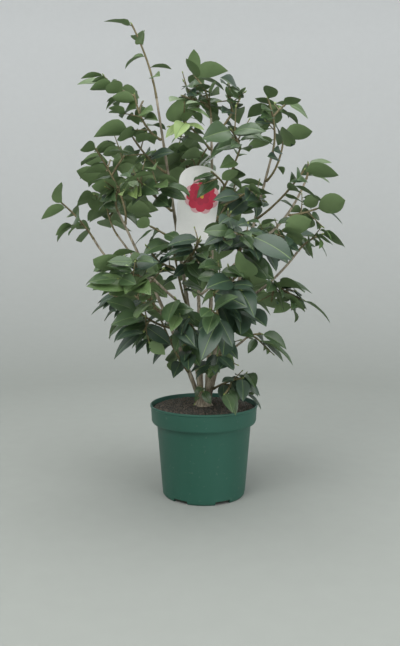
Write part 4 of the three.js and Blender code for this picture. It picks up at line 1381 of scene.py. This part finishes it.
# The forms are in the pieces now, and nothing of them stays behind.
for form in (*leaf_forms.objects, *crumb_forms.objects, *bud_forms.objects):
    bpy.data.objects.remove(form)


# ---- Studio ----
# The paper's tones: darker low down as painted shade, paler high up as painted light.
PAPER_LOW_PAINTED_SHADE = ("#9a9e9a", "#9ea29e")
PAPER_HIGH_PAINTED_LIGHT = ("#e2e4e6", "#e6e8ea")
FLOOR_DROP = 0.2  # of the floor under the pot


def paper(tree, shader, place):
    """Matt backdrop paper with a faint tooth. Its colour grades with height, from darker low down, which is
    painted shade, to paler towards the top of the wall, which is painted light.
    """
    tooth = add_node(tree, "ShaderNodeTexNoise", {"Vector": place, **noise_inputs(40)}).outputs["Fac"]
    # Painted light: the colour grades from the low tones to the high ones over the first 2.2 m of height.
    height = add_node(tree, "ShaderNodeSeparateXYZ", {"Vector": place}).outputs["Z"]
    share = add_node(tree, "ShaderNodeMapRange", {"Value": height, "From Max": 2.2}).outputs["Result"]
    rise = add_node(tree, "ShaderNodeMath", {0: share, 1: 0.6}, operation="POWER").outputs[0]
    shades = []
    for tones in (PAPER_LOW_PAINTED_SHADE, PAPER_HIGH_PAINTED_LIGHT):
        mix = {"Factor": tooth, 6: linear(tones[0]), 7: linear(tones[1])}
        shades.append(add_node(tree, "ShaderNodeMix", mix, data_type="RGBA").outputs[2])
    mix = {"Factor": rise, 6: shades[0], 7: shades[1]}
    tint = add_node(tree, "ShaderNodeMix", mix, data_type="RGBA").outputs[2]
    feed(shader, {"Base Color": tint, "Roughness": 0.95})


def cyclorama():
    """A round floor that curves up into a wall all round, so that it backs the plant from every side."""
    wall, bend, height, steps = 3800, 2400, 4600, 24
    profile = [(0, -FLOOR_DROP), (wall - bend, -FLOOR_DROP)]
    for i in range(1, steps + 1):
        turn = math.pi / 2 * i / steps
        profile.append((wall - bend + bend * math.sin(turn), bend - bend * math.cos(turn)))
    profile.append((wall, height))
    mesh = mesh_from("backdrop_sweep", turned(profile, 96))
    mesh.shade_smooth()
    return piece_of("backdrop_sweep", mesh, material("backdrop_paper", paper))


cyclorama()

PLANT_MIDDLE = Vector((0.0, 0.0, 0.46))


def softbox(name, place, size, power, colour):
    """A square of soft light that faces the plant. Metres and watts."""
    lamp = bpy.data.lights.new(name, "AREA")
    lamp.shape, lamp.size, lamp.energy, lamp.color = "SQUARE", size, power, colour
    held = bpy.data.objects.new(name, lamp)
    held.location = place
    held.rotation_euler = (PLANT_MIDDLE - Vector(place)).to_track_quat("-Z", "Y").to_euler()
    bpy.context.scene.collection.objects.link(held)


softbox("key_softbox", (-1.1, -1.6, 1.9), 1.6, 32, (1.0, 0.99, 0.97))
softbox("fill_softbox", (1.4, -1.6, 0.9), 1.6, 23, (0.99, 0.99, 1.0))
softbox("top_softbox", (0.1, 0.1, 2.5), 1.8, 21, (0.99, 1.0, 1.0))

world = bpy.data.worlds.new("studio_air")
world.use_nodes = True
feed(world.node_tree.nodes["Background"], {"Color": linear("#ecedea"), "Strength": 1.0})
bpy.context.scene.world = world
bpy.context.scene.view_settings.view_transform = "Standard"

SENSOR = 36
FOCAL_PIXELS = 637  # the focal length, in pixels of a frame 646 high
FRAME_PIXELS = 646
PITCH_DOWN = 4.82
eye = bpy.data.cameras.new("camera")
eye.sensor_width = SENSOR
eye.lens = SENSOR * FOCAL_PIXELS / FRAME_PIXELS
eye.clip_start = 0.05
viewer = bpy.data.objects.new("camera", eye)
viewer.location = (-0.008, -1.291, 0.460)
viewer.rotation_euler = (math.radians(90 - PITCH_DOWN), 0, 0)
bpy.context.scene.collection.objects.link(viewer)
bpy.context.scene.camera = viewer
